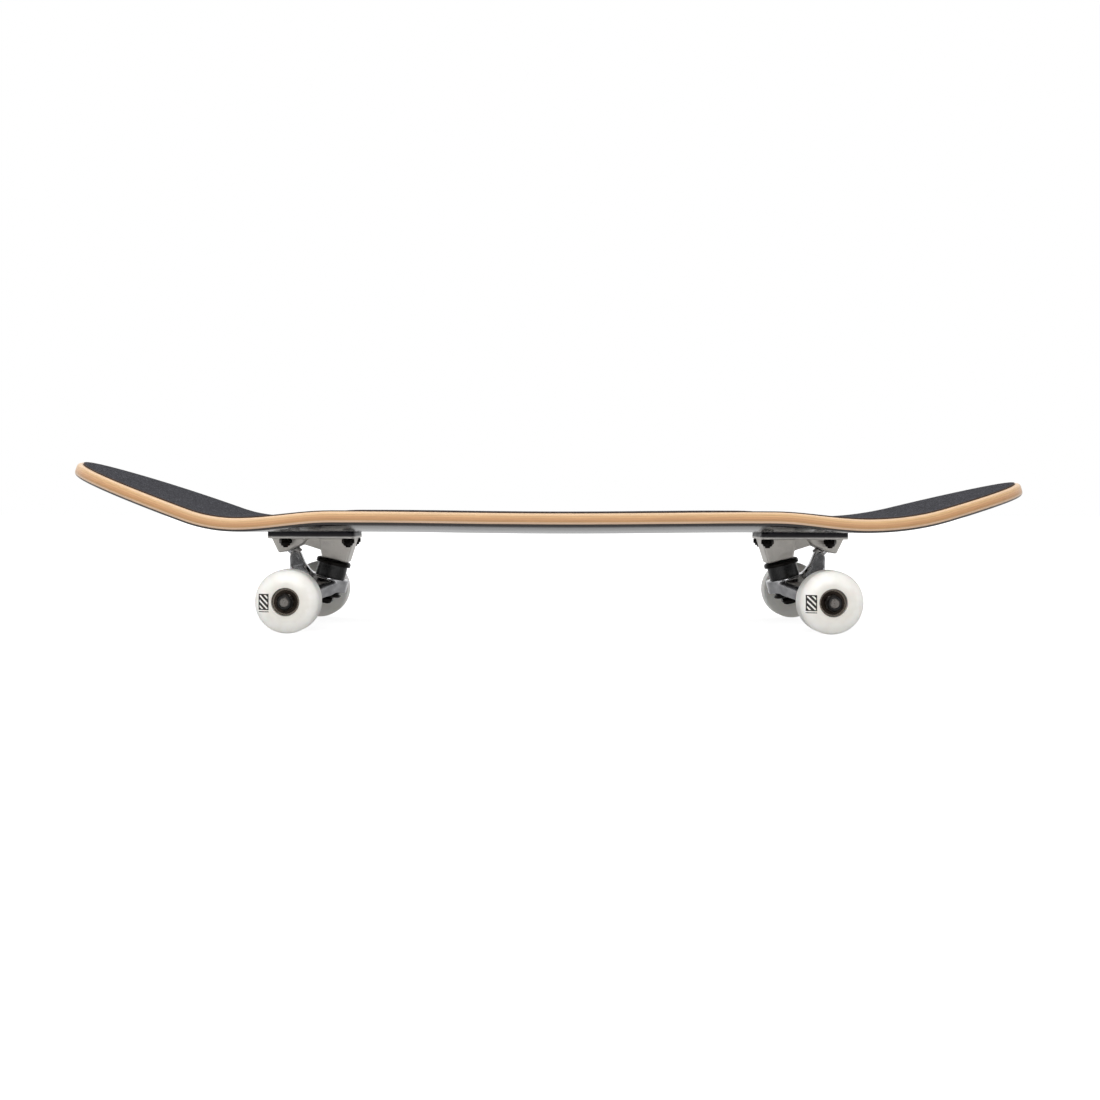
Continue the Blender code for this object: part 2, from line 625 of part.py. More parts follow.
def yoke():
    """The web that joins the pivot to the ring and the beam, as a side view round the axle given a width."""
    axle = AXLE_FRAME.translation
    ring_side = KINGPIN_FRAME @ Vector((-RING_DIAMETER / 2 + 4 * MM, 0, RING_TOP - 1 * MM))
    neck = PIVOT - PIVOT_AXIS * PIVOT_NOSE_LENGTH
    outline = [
        (axle.x - 6.0 * MM, axle.z - 2 * MM),
        (axle.x + 14 * MM, axle.z - 2 * MM),
        (ring_side.x, ring_side.z),
        (axle.x + 4.0 * MM, axle.z + 21.5 * MM),
        (axle.x - 0.5 * MM, axle.z + 27.5 * MM),
        (neck.x + 3.4 * MM, neck.z + 1.5 * MM),
        (neck.x - 3.4 * MM, neck.z + 3.6 * MM),
        (axle.x - 14.4 * MM, axle.z + 33.0 * MM),
        (axle.x - 14.2 * MM, axle.z + 24.0 * MM),
        (axle.x - 11.0 * MM, axle.z + 10.0 * MM),
    ]
    web = extruded("yoke", [(x, z) for x, z in reversed(outline)], ARM_WIDTH, YOKE_FOOT_WIDTH)
    bevel(web, 2.2 * MM, 2)
    return web


def gusset():
    """The wings that carry the ring on the beam: a hull round the ring and two discs on the axle."""
    bm = bmesh.new()
    core = RING_THICKNESS - 3 * MM
    bmesh.ops.create_cone(
        bm,
        cap_ends=True,
        segments=20,
        radius1=RING_DIAMETER / 2 - 1 * MM,
        radius2=RING_DIAMETER / 2 - 1 * MM,
        depth=core,
        matrix=KINGPIN_FRAME @ Matrix.Translation((0, 0, (RING_TOP + RING_FOOT) / 2)),
    )
    for side in (-1, 1):
        bmesh.ops.create_cone(
            bm,
            cap_ends=True,
            segments=12,
            radius1=GUSSET_END_RADIUS,
            radius2=GUSSET_END_RADIUS,
            depth=2 * MM,
            matrix=AXLE_FRAME @ Matrix.Translation((0, 0, side * GUSSET_REACH)),
        )
    hull = bmesh.ops.convex_hull(bm, input=bm.verts)
    inside = [part for part in hull["geom_interior"] if isinstance(part, bmesh.types.BMVert)]
    bmesh.ops.delete(bm, geom=inside, context="VERTS")
    left_over = [face for face in bm.faces if face not in set(hull["geom"])]
    bmesh.ops.delete(bm, geom=left_over, context="FACES_ONLY")
    bmesh.ops.remove_doubles(bm, verts=bm.verts, dist=0.001 * MM)
    bmesh.ops.recalc_face_normals(bm, faces=bm.faces)
    return loose("gusset", mesh_of("gusset", bm))


def hanger_mesh():
    half = beam_profile()
    outer = half + [(radius, -place) for radius, place in reversed(half)]
    beam = turned("hanger", [(0, half[0][1]), *outer, (0, -half[0][1])], 20, AXLE_FRAME)
    ring = rod("ring", RING_DIAMETER / 2, RING_FOOT, RING_TOP, BUSHING_STEPS, KINGPIN_FRAME)
    arm, wings = yoke(), gusset()
    nose = turned("nose", pivot_profile(), SMALL_STEPS, PIVOT_FRAME)
    boolean(beam, "UNION", wings, ring, arm, nose)
    seat_radius = BUSHING_DIAMETER / 2 + GAP
    below = RING_FOOT - 30 * MM
    roadside_seat_top = RING_FOOT + ROADSIDE_SEAT_DEPTH
    cutters = [
        rod("hole", RING_HOLE_DIAMETER / 2, below, 0, 20, KINGPIN_FRAME),
        rod(
            "boardside_seat",
            seat_radius,
            RING_TOP - BOARDSIDE_SEAT_DEPTH,
            RING_TOP + 10 * MM,
            BUSHING_STEPS,
            KINGPIN_FRAME,
        ),
        rod("roadside_seat", seat_radius, below, roadside_seat_top, BUSHING_STEPS, KINGPIN_FRAME),
        rod("washer_room", seat_radius + WASHER_ROOM, below, RING_FOOT + GAP, BUSHING_STEPS, KINGPIN_FRAME),
        rod("axle_bore", AXLE_RADIUS + GAP, -AXLE_LENGTH, AXLE_LENGTH, SMALL_STEPS, AXLE_FRAME),
    ]
    boolean(beam, "DIFFERENCE", *cutters)
    mesh = baked(beam, ring, arm, wings, nose, *cutters)
    mesh.shade_smooth()
    mesh.set_sharp_from_angle(angle=math.radians(35))
    return mesh


def pivot_profile():
    """The pivot's round nose and its straight shank, in the pivot frame, top down."""
    radius = PIVOT_DIAMETER / 2
    turns = [math.pi / 2 * step / 4 for step in range(5)]
    dome = [(radius * math.sin(turn), radius * math.cos(turn)) for turn in turns]
    return [*dome, (radius, -PIVOT_NOSE_LENGTH - 2 * MM), (0, -PIVOT_NOSE_LENGTH - 2 * MM)]


def pivot_cup_profile():
    """The cup that the nose turns in, in the pivot frame: a thimble, open towards the bushings."""
    inner, outer = PIVOT_DIAMETER / 2 + GAP, CUP_BUSH_RADIUS
    turns = [math.pi / 2 * step / 4 for step in range(5)]
    hollow = [(inner * math.sin(turn), inner * math.cos(turn)) for turn in reversed(turns)]
    mouth = -2.0 * MM
    chamfer = 1.5 * MM
    top = [(0, CUP_BUSH_TOP), (outer - chamfer, CUP_BUSH_TOP), (outer, CUP_BUSH_TOP - chamfer)]
    return [*top, (outer, mouth), (inner, mouth), *hollow[:-1], (0, inner)]


# Small turned pieces, each in its own axis's frame ------------------------------------------------
def wheel_profile(steps):
    """The moulded wheel about its axle. Its flats, not its corners, are at the stated radius."""
    grow = 1 / math.cos(math.pi / steps)
    tread, face = WHEEL_RADIUS * grow, WHEEL_WIDTH / 2
    seat = (BEARING_DIAMETER / 2 + GAP) * grow
    rib = seat - BEARING_SHOULDER
    rib_half = BEARING_SPREAD / 2 - GAP
    edge, shoulder = TREAD_WIDTH / 2, tread - WHEEL_FACE_RADIUS
    half = [
        (seat, rib_half),
        (seat, face),
        (WHEEL_FACE_RADIUS, face),
        (WHEEL_FACE_RADIUS + shoulder * 0.55, edge + (face - edge) * 0.68),
        (WHEEL_FACE_RADIUS + shoulder * 0.86, edge + (face - edge) * 0.30),
        (tread, edge - 0.8 * MM),
    ]
    mirrored = [(radius, -place) for radius, place in reversed(half)]
    return [*half, *mirrored, (rib, -rib_half), (rib, rib_half)]


def bearing_profile():
    """A shielded ball bearing, as one ring, with its shields a little below the outer race's faces."""
    outer, inner, half = BEARING_DIAMETER / 2, AXLE_RADIUS + GAP, BEARING_WIDTH / 2
    face = [
        (inner, half - SHIELD_DEPTH),
        (RACE_OUTER_RADIUS, half - SHIELD_DEPTH),
        (RACE_OUTER_RADIUS, half),
        (outer, half),
    ]
    return [*face, *((radius, -place) for radius, place in reversed(face))]


def washer_profile(inner, outer, thickness):
    return [(outer, thickness), (outer, 0), (inner, 0), (inner, thickness)]


def cup_profile(bushing_radius, lip):
    """A cup washer, its plate's face at z 0 and its lip upwards round the bushing that it holds."""
    inner, outer = KINGPIN_RADIUS + GAP, bushing_radius + GAP + CUP_WALL
    return [
        (outer, lip),
        (outer, -CUP_THICKNESS + 0.5 * MM),
        (outer - 0.5 * MM, -CUP_THICKNESS),
        (inner, -CUP_THICKNESS),
        (inner, 0),
        (bushing_radius + GAP, 0),
        (bushing_radius + GAP, lip),
    ]


def bushing_profile(top_radius, foot_radius, height):
    """A bushing's ring from z 0 down, with rounded rims."""
    bore, soft = KINGPIN_RADIUS + GAP, BUSHING_ROUND
    return [
        (top_radius - soft, 0),
        (top_radius, -soft),
        (foot_radius, -height + soft),
        (foot_radius - soft, -height),
        (bore, -height),
        (bore, 0),
    ]


def nut_mesh(name, flats, height, bore):
    """A hexagonal lock nut from z 0 up, with the round collar that holds its nylon ring on top."""
    nut = prism(name, flats, 0, height * 0.7)
    collar = rod("collar", flats * 0.44, height * 0.35, height, 12)
    hole = rod("nut_hole", bore, -height, 2 * height, 12)
    boolean(nut, "UNION", collar)
    boolean(nut, "DIFFERENCE", hole)
    return baked(nut, collar, hole)


def kingpin_mesh():
    head_foot = KINGPIN_HEAD_TOP - KINGPIN_HEAD_HEIGHT
    head = prism("kingpin", KINGPIN_HEAD_FLATS, head_foot, KINGPIN_HEAD_TOP)
    chamfer = 1 * MM
    shank = turned(
        "shank",
        [
            (0, head_foot + 2 * MM),
            (KINGPIN_RADIUS, head_foot + 2 * MM),
            (KINGPIN_RADIUS, KINGPIN_END + chamfer),
            (KINGPIN_RADIUS - chamfer, KINGPIN_END),
            (0, KINGPIN_END),
        ],
        SMALL_STEPS,
    )
    boolean(head, "UNION", shank)
    return baked(head, shank)


MESHES = {
    "baseplate": (baseplate_mesh(), CAST_ALUMINIUM),
    "hanger": (hanger_mesh(), POLISHED_ALUMINIUM),
    "pivot_cup": (turned_mesh("pivot_cup", pivot_cup_profile(), SMALL_STEPS), CUP_NYLON),
    "kingpin": (kingpin_mesh(), BLACK_STEEL),
    "kingpin_nut": (
        nut_mesh("kingpin_nut", KINGPIN_NUT_FLATS, KINGPIN_NUT_HEIGHT, KINGPIN_RADIUS + GAP),
        BLACK_STEEL,
    ),
    "boardside_washer": (
        turned_mesh(
            "boardside_washer", cup_profile(BUSHING_DIAMETER / 2, BOARDSIDE_CUP_LIP), BUSHING_STEPS
        ),
        BLACK_STEEL,
    ),
    "roadside_washer": (
        turned_mesh(
            "roadside_washer", cup_profile(ROADSIDE_BUSHING_FOOT / 2, ROADSIDE_CUP_LIP), BUSHING_STEPS
        ),
        BLACK_STEEL,
    ),
    "boardside_bushing": (
        turned_mesh(
            "boardside_bushing",
            bushing_profile(BUSHING_DIAMETER / 2, BUSHING_DIAMETER / 2, BOARDSIDE_BUSHING_HEIGHT),
            BUSHING_STEPS,
        ),
        URETHANE_BLACK,
    ),
    "roadside_bushing": (
        turned_mesh(
            "roadside_bushing",
            bushing_profile(BUSHING_DIAMETER / 2 - GAP, ROADSIDE_BUSHING_FOOT / 2, ROADSIDE_BUSHING_HEIGHT),
            BUSHING_STEPS,
        ),
        URETHANE_BLACK,
    ),
    "axle": (
        turned_mesh(
            "axle",
            [
                (0, AXLE_LENGTH / 2),
                (AXLE_RADIUS - AXLE_CHAMFER, AXLE_LENGTH / 2),
                (AXLE_RADIUS, AXLE_LENGTH / 2 - AXLE_CHAMFER),
                (AXLE_RADIUS, -AXLE_LENGTH / 2 + AXLE_CHAMFER),
                (AXLE_RADIUS - AXLE_CHAMFER, -AXLE_LENGTH / 2),
                (0, -AXLE_LENGTH / 2),
            ],
            SMALL_STEPS,
        ),
        STEEL,
    ),
    "wheel": (turned_mesh("wheel", wheel_profile(WHEEL_STEPS), WHEEL_STEPS), URETHANE_WHITE),
    "bearing": (turned_mesh("bearing", bearing_profile(), SMALL_STEPS), STEEL),
    "speed_washer": (
        turned_mesh(
            "speed_washer",
            washer_profile(AXLE_RADIUS + GAP, SPEED_WASHER_DIAMETER / 2, SPEED_WASHER_THICKNESS),
            SMALL_STEPS,
        ),
        STEEL,
    ),
    "axle_nut": (nut_mesh("axle_nut", AXLE_NUT_FLATS, AXLE_NUT_HEIGHT, AXLE_RADIUS + GAP), BLACK_STEEL),
    "bolt": (turned_mesh("bolt", bolt_profile(0, 0), BOLT_STEPS), BLACK_STEEL),
    "bolt_nut": (nut_mesh("bolt_nut", BOLT_NUT_FLATS, BOLT_NUT_HEIGHT, BOLT_DIAMETER / 2 + GAP), BLACK_STEEL),
}


def put(name, kind, parent, frame=None):
    mesh, finish = MESHES[kind]
    return node(name, mesh, finish, parent, frame)


# Both trucks --------------------------------------------------------------------------------------
UPSIDE_DOWN = Matrix.Rotation(math.pi, 4, "X")


def at(z):
    return Matrix.Translation((0, 0, z))


def axle_pieces(end_name, steer, side_name, outwards):
    """Wheel, bearings, washer and nut on one end of an axle. In the spin frame +z points outwards."""
    turn = Matrix.Identity(4) if outwards > 0 else UPSIDE_DOWN
    spin = empty(f"{end_name}_{side_name}_axle_end", steer, PIVOT_FRAME.inverted() @ AXLE_FRAME @ turn)
    named = f"{end_name}_{side_name}"
    half_step = Matrix.Rotation(math.pi / WHEEL_STEPS, 4, "Z")
    put(f"{named}_wheel", "wheel", spin, at(WHEEL_Y) @ half_step)
    put(f"{named}_inner_bearing", "bearing", spin, at(INNER_BEARING_Y + BEARING_WIDTH / 2))
    put(f"{named}_outer_bearing", "bearing", spin, at(OUTER_BEARING_Y + BEARING_WIDTH / 2))
    put(f"{named}_speed_washer", "speed_washer", spin, at(OUTER_WASHER_Y))
    put(f"{named}_axle_nut", "axle_nut", spin, at(AXLE_NUT_Y))


def truck(end_name, end, left_outwards):
    """One truck. end is -1 at the nose and 1 at the tail, where the truck faces the other way."""
    facing = Matrix.Identity(4) if end < 0 else Matrix.Rotation(math.pi, 4, "Z")
    place = Matrix.Translation((MIDDLE_X + end * TRUCK_X, 0, PLATE_TOP_Z))
    base = empty(f"{end_name}_truck", None, place @ facing)
    put(f"{end_name}_baseplate", "baseplate", base)
    put(f"{end_name}_pivot_cup", "pivot_cup", base, PIVOT_FRAME)

    kingpin = empty(f"{end_name}_kingpin_axis", base, KINGPIN_FRAME)
    put(f"{end_name}_kingpin", "kingpin", kingpin)
    cup_place = at(BOARDSIDE_CUP_TOP - CUP_THICKNESS) @ UPSIDE_DOWN
    put(f"{end_name}_boardside_washer", "boardside_washer", kingpin, cup_place)
    put(f"{end_name}_boardside_bushing", "boardside_bushing", kingpin, at(BOARDSIDE_BUSHING_TOP))
    put(f"{end_name}_roadside_bushing", "roadside_bushing", kingpin, at(ROADSIDE_BUSHING_TOP))
    put(f"{end_name}_roadside_washer", "roadside_washer", kingpin, at(ROADSIDE_CUP_TOP))
    put(f"{end_name}_kingpin_nut", "kingpin_nut", kingpin, at(KINGPIN_NUT_TOP) @ UPSIDE_DOWN)

    steer = empty(f"{end_name}_steer_axis", base, PIVOT_FRAME)
    to_base = PIVOT_FRAME.inverted()
    put(f"{end_name}_hanger", "hanger", steer, to_base)
    put(f"{end_name}_axle", "axle", steer, to_base @ AXLE_FRAME)
    for side_name, outwards in (("left", left_outwards), ("right", -left_outwards)):
        axle_pieces(end_name, steer, side_name, outwards)


truck("nose", -1, -1)
truck("tail", 1, 1)

END_NAMES = {-1: "nose", 1: "tail"}
SIDE_NAMES = {-1: "left", 1: "right"}
for end, side, x, y, lead in BOLT_PLACES:
    row = "inner" if lead * end < 0 else "outer"
    place_name = f"{END_NAMES[end]}_{row}_{SIDE_NAMES[side]}"
    put(f"{place_name}_bolt", "bolt", None, Matrix.Translation((x, y, BOLT_TOP_Z)))
    nut_place = Matrix.Translation((x, y, PLATE_TOP_Z - PLATE_THICKNESS - GAP)) @ UPSIDE_DOWN
    put(f"{place_name}_nut", "bolt_nut", None, nut_place @ Matrix.Rotation(math.pi / 6, 4, "Z"))
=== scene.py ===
# %% [markdown]
# # A skateboard
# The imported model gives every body, hole and axis. The pieces that show are modelled round it here, with
# the surfaces that the real board has: pressed maple, grit, cast and polished aluminium, urethane and
# steel. X runs from the nose to the tail, Y to the rider's right and Z up, in metres.

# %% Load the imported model
import json
import math

import bpy
from mathutils import Matrix, Vector


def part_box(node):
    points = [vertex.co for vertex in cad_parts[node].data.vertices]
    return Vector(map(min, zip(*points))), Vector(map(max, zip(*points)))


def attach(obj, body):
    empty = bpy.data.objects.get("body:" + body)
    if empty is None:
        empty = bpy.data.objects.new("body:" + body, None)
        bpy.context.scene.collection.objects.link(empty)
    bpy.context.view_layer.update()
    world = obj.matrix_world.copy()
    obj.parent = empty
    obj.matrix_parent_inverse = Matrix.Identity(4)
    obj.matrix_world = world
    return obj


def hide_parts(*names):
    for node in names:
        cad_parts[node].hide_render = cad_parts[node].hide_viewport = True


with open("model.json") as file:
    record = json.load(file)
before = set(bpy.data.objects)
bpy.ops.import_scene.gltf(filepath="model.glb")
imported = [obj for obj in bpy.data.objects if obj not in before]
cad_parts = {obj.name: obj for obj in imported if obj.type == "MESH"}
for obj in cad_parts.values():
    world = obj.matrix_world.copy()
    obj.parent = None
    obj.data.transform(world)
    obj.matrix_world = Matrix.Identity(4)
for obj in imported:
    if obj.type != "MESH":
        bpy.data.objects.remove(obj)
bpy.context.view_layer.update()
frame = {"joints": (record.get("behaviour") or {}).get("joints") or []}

# %% [markdown]
# ## Places
# Each truck is modelled once, in its own frame: x towards the board's middle, z up, with the origin on
# top of the baseplate, between its four bolts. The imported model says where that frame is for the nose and
# for the tail. The kingpin leans, so it has a frame of its own inside the truck's, and so has the pivot,
# which the joint gives.

# %% Frames of the two trucks
MM = 0.001
ENDS = ("nose", "tail")
SIDES = {"left": -1, "right": 1}
KINGPIN_TILT = math.radians(14.0)
KINGPIN_SEAT = Vector((12.154, 0, -24.2)) * MM  # where its axis meets the housing's lower face


def middle(node):
    low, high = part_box(node)
    return (low + high) / 2


def truck_frame(end):
    bolts = [middle(f"{end}_{row}_{side}_bolt") for row in ("inner", "outer") for side in SIDES]
    place = sum(bolts, Vector()) / 4
    place.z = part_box(f"{end}_baseplate")[1].z
    return Matrix.Translation(place) @ Matrix.Rotation(0 if end == "nose" else math.pi, 4, "Z")


TRUCKS = {end: truck_frame(end) for end in ENDS}
AXLE = TRUCKS["nose"].inverted() @ middle("nose_axle")  # the axle's middle in a truck's frame
KINGPIN = Matrix.Translation(KINGPIN_SEAT) @ Matrix.Rotation(KINGPIN_TILT, 4, "Y")
steer = next(joint for joint in frame["joints"] if joint["name"] == "nose_truck_steer")
pivot_place = TRUCKS["nose"].inverted() @ Vector(steer["pos_m"])
pivot_axis = Vector(steer["axis"]).normalized()
PIVOT = Matrix.Translation(pivot_place) @ pivot_axis.to_track_quat("Z", "Y").to_matrix().to_4x4()
ALONG_AXLE = Matrix.Translation(AXLE) @ Matrix.Rotation(-math.pi / 2, 4, "X")
for end in ENDS:
    print(end, "truck at", [round(value * 1000, 1) for value in TRUCKS[end].translation])
print("axle in the truck's frame:", [round(value * 1000, 2) for value in AXLE])

# %% [markdown]
# ## Tools of the bench
# Nothing here shows. These few steps are what a modeller repeats by hand all day: leave one object
# selected, apply a modifier, draw an outline point by point, and spin it or give it a width.

# %% Selecting, and applying a modifier


def only(piece):
    """Leaves this object alone selected and active."""
    if bpy.context.object and bpy.context.object.mode != "OBJECT":
        bpy.ops.object.mode_set(mode="OBJECT")
    bpy.ops.object.select_all(action="DESELECT")
    piece.select_set(True)
    bpy.context.view_layer.objects.active = piece
    return piece


def started(name):
    """Names the primitive that was just added and enters edit mode with all of it selected."""
    piece = bpy.context.object
    piece.name = piece.data.name = name
    bpy.ops.object.mode_set(mode="EDIT")
    bpy.ops.mesh.select_all(action="SELECT")
    return piece


def tidy(piece):
    """Merges what lies on the same spot, turns the faces outwards and leaves edit mode."""
    if piece.mode != "EDIT":
        only(piece)
        bpy.ops.object.mode_set(mode="EDIT")
    bpy.ops.mesh.select_all(action="SELECT")
    bpy.ops.mesh.remove_doubles(threshold=0.002 * MM)
    bpy.ops.mesh.normals_make_consistent(inside=False)
    bpy.ops.object.mode_set(mode="OBJECT")
    return piece


def applied(piece, kind, **settings):
    only(piece)
    bpy.ops.object.modifier_add(type=kind)
    modifier = piece.modifiers[-1]
    for name, value in settings.items():
        setattr(modifier, name, value)
    bpy.ops.object.modifier_apply(modifier=modifier.name)
    return piece


def rounded(piece, width, segments=3, angle=35):
    return applied(
        piece, "BEVEL", width=width, segments=segments, limit_method="ANGLE", angle_limit=math.radians(angle)
    )


def cut(piece, operation, *tools):
    """Joins, cuts away or keeps what the tools share with the piece, and clears the tools away."""
    for tool in tools:
        applied(piece, "BOOLEAN", operation=operation, object=tool, solver="EXACT")
        bpy.data.objects.remove(tool)
    return piece


def placed(piece, place):
    """Moves the piece and writes its place into its mesh."""
    only(piece)
    piece.matrix_world = place @ piece.matrix_world
    bpy.ops.object.transform_apply(location=True, rotation=True, scale=True)
    return piece


def smooth(piece, angle=35):
    only(piece)
    bpy.ops.object.shade_smooth_by_angle(angle=math.radians(angle))
    return piece


# %% Drawing an outline, then spinning or extruding it


def drawn(name, points):
    """One vertex extruded from point to point. The last point may repeat the first, which closes the line."""
    bpy.ops.object.select_all(action="DESELECT")
    bpy.ops.mesh.primitive_plane_add(size=1 * MM)
    piece = started(name)
    bpy.ops.mesh.merge(type="CENTER")
    bpy.ops.transform.translate(value=points[0])
    for here, there in zip(points, points[1:]):
        bpy.ops.mesh.extrude_vertices_move(TRANSFORM_OT_translate={"value": Vector(there) - Vector(here)})
    return piece


def turned(name, profile, steps, ring=False):
    """A profile of (radius, height) points in millimetres spun about z. A ring's profile closes on itself."""
    points = [Vector((radius, 0, height)) * MM for radius, height in profile]
    piece = drawn(name, points + points[:1] if ring else points)
    bpy.ops.mesh.select_all(action="SELECT")
    bpy.ops.mesh.spin(steps=steps, angle=2 * math.pi, center=(0, 0, 0), axis=(0, 0, 1))
    return tidy(piece)


def sawn(name, outline, width, foot_width=None):
    """A side view of (x, z) points in millimetres, extruded along y. Its lower half may be narrower."""
    points = [Vector((x, -width / 2, z)) * MM for x, z in outline]
    piece = drawn(name, points + points[:1])
    bpy.ops.mesh.select_all(action="SELECT")
    bpy.ops.mesh.remove_doubles(threshold=0.002 * MM)
    bpy.ops.mesh.edge_face_add()
    bpy.ops.mesh.extrude_region_move(TRANSFORM_OT_translate={"value": (0, width * MM, 0)})
    tidy(piece)
    if foot_width:
        heights = [z for _, z in outline]
        half_way = (max(heights) + min(heights)) / 2 * MM
        for vertex in piece.data.vertices:
            if vertex.co.z < half_way:
                vertex.co.y *= foot_width / width
    return piece


def bar(name, radius, low, high, sides=48):
    """A round bar about z, or a hexagonal one with six sides, between two heights in millimetres."""
    bpy.ops.object.select_all(action="DESELECT")
    bpy.ops.mesh.primitive_cylinder_add(
        vertices=sides, radius=radius * MM, depth=(high - low) * MM, location=(0, 0, (high + low) / 2 * MM)
    )
    piece = bpy.context.object
    piece.name = piece.data.name = name
    bpy.ops.object.transform_apply(location=True, rotation=True, scale=True)
    return piece


# %% Copies in their places


def remember(piece):
    """Keeps each point's place in the drawing as an attribute, so a pattern stays with the piece."""
    held = piece.data.attributes.new("drawn", "FLOAT_VECTOR", "POINT")
    held.data.foreach_set("vector", [value for vertex in piece.data.vertices for value in vertex.co])
    return piece


def finished(piece, finish, angle=35):
    """Shades the piece, gives it its finish and notes the drawing."""
    smooth(piece, angle)
    piece.data.materials.append(finish)
    return remember(piece)


def fitted(pattern, name, place, body, slot, *nodes):
    """A copy of the pattern with its own mesh, in its place on a body, which stands for those CAD nodes."""
    piece = pattern.copy()
    piece.data = pattern.data.copy()
    piece.name = piece.data.name = name
    bpy.context.scene.collection.objects.link(piece)
    placed(piece, place)
    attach(piece, body)
    if nodes:
        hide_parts(*nodes)
    return piece


def put_away(*patterns):
    for pattern in patterns:
        bpy.data.objects.remove(pattern)


# %% [markdown]
# ## Finishes
# A finish is a Principled shader with its constants on its own sockets, and patterns from noise, waves
# and cells. Colours are written as the hex codes that a colour picker shows, so one function turns them
# to linear light.

# %% Colour, one node, and a plain shader


def linear(code):
    """A hex colour as linear red, green, blue and alpha."""
    shares = [int(code[place : place + 2], 16) / 255 for place in (1, 3, 5)]
    return [c / 12.92 if c <= 0.04045 else ((c + 0.055) / 1.055) ** 2.4 for c in shares] + [1]


def add(finish, kind, feeds=None, **settings):
    """Adds one node. A setting is a property of the node or the value of an input by name.
    A feed is what one input gets, by number or name: another node's output, or a value."""
    made = finish.node_tree.nodes.new("ShaderNode" + kind)
    for name, value in settings.items():
        if hasattr(made, name):
            setattr(made, name, value)
        else:
            made.inputs[name.replace("_", " ")].default_value = value
    for socket, source in (feeds or {}).items():
        if isinstance(source, bpy.types.NodeSocket):
            finish.node_tree.links.new(source, made.inputs[socket])
        else:
            made.inputs[socket].default_value = source
    return made


def spread(finish, noise, low, high):
    """The middle of a noise's range spread from low to high."""
    return add(
        finish, "MapRange", {"Value": noise.outputs["Fac"]}, From_Min=0.3, From_Max=0.7, To_Min=low, To_Max=high
    )


def shader_of(finish):
    return finish.node_tree.nodes["Principled BSDF"]


def new_finish(name, **sockets):
    finish = bpy.data.materials.new(name)
    finish.use_nodes = True
    for socket, value in sockets.items():
        shader_of(finish).inputs[socket.replace("_", " ")].default_value = value
    return finish


def feed(finish, **sources):
    for socket, source in sources.items():
        finish.node_tree.links.new(source, shader_of(finish).inputs[socket.replace("_", " ")])


def stops(ramp, *pairs, mode="LINEAR"):
    """Sets a colour ramp's stops, as (position, hex or grey value)."""
    ramp.color_ramp.interpolation = mode
    while len(ramp.color_ramp.elements) > 1:
        ramp.color_ramp.elements.remove(ramp.color_ramp.elements[-1])
    for index, (position, value) in enumerate(pairs):
        element = ramp.color_ramp.elements[0] if index == 0 else ramp.color_ramp.elements.new(position)
        element.position = position
        element.color = linear(value) if isinstance(value, str) else (value, value, value, 1)
    return ramp


# %% [markdown]
# ### Maple plies
# The deck is seven sheets of hard maple, glued and pressed. Its sanded edge shows them as stripes:
# long-grain sheets with fine streaks, two cross sheets that show their end grain, glue lines between
# them, and a bottom sheet stained black. The pattern reads where a point lay in the flat blank, so that
# the stripes bend with the wood.

# %% Maple plies, sanded and sealed
DECK_THICKNESS = 10.8  # mm
PLY_COUNT = 7
PLY_COLOURS = ("#2a2320", "#cfb093", "#b98d60", "#c8976b", "#d3a678", "#d0a878", "#d3b18c")


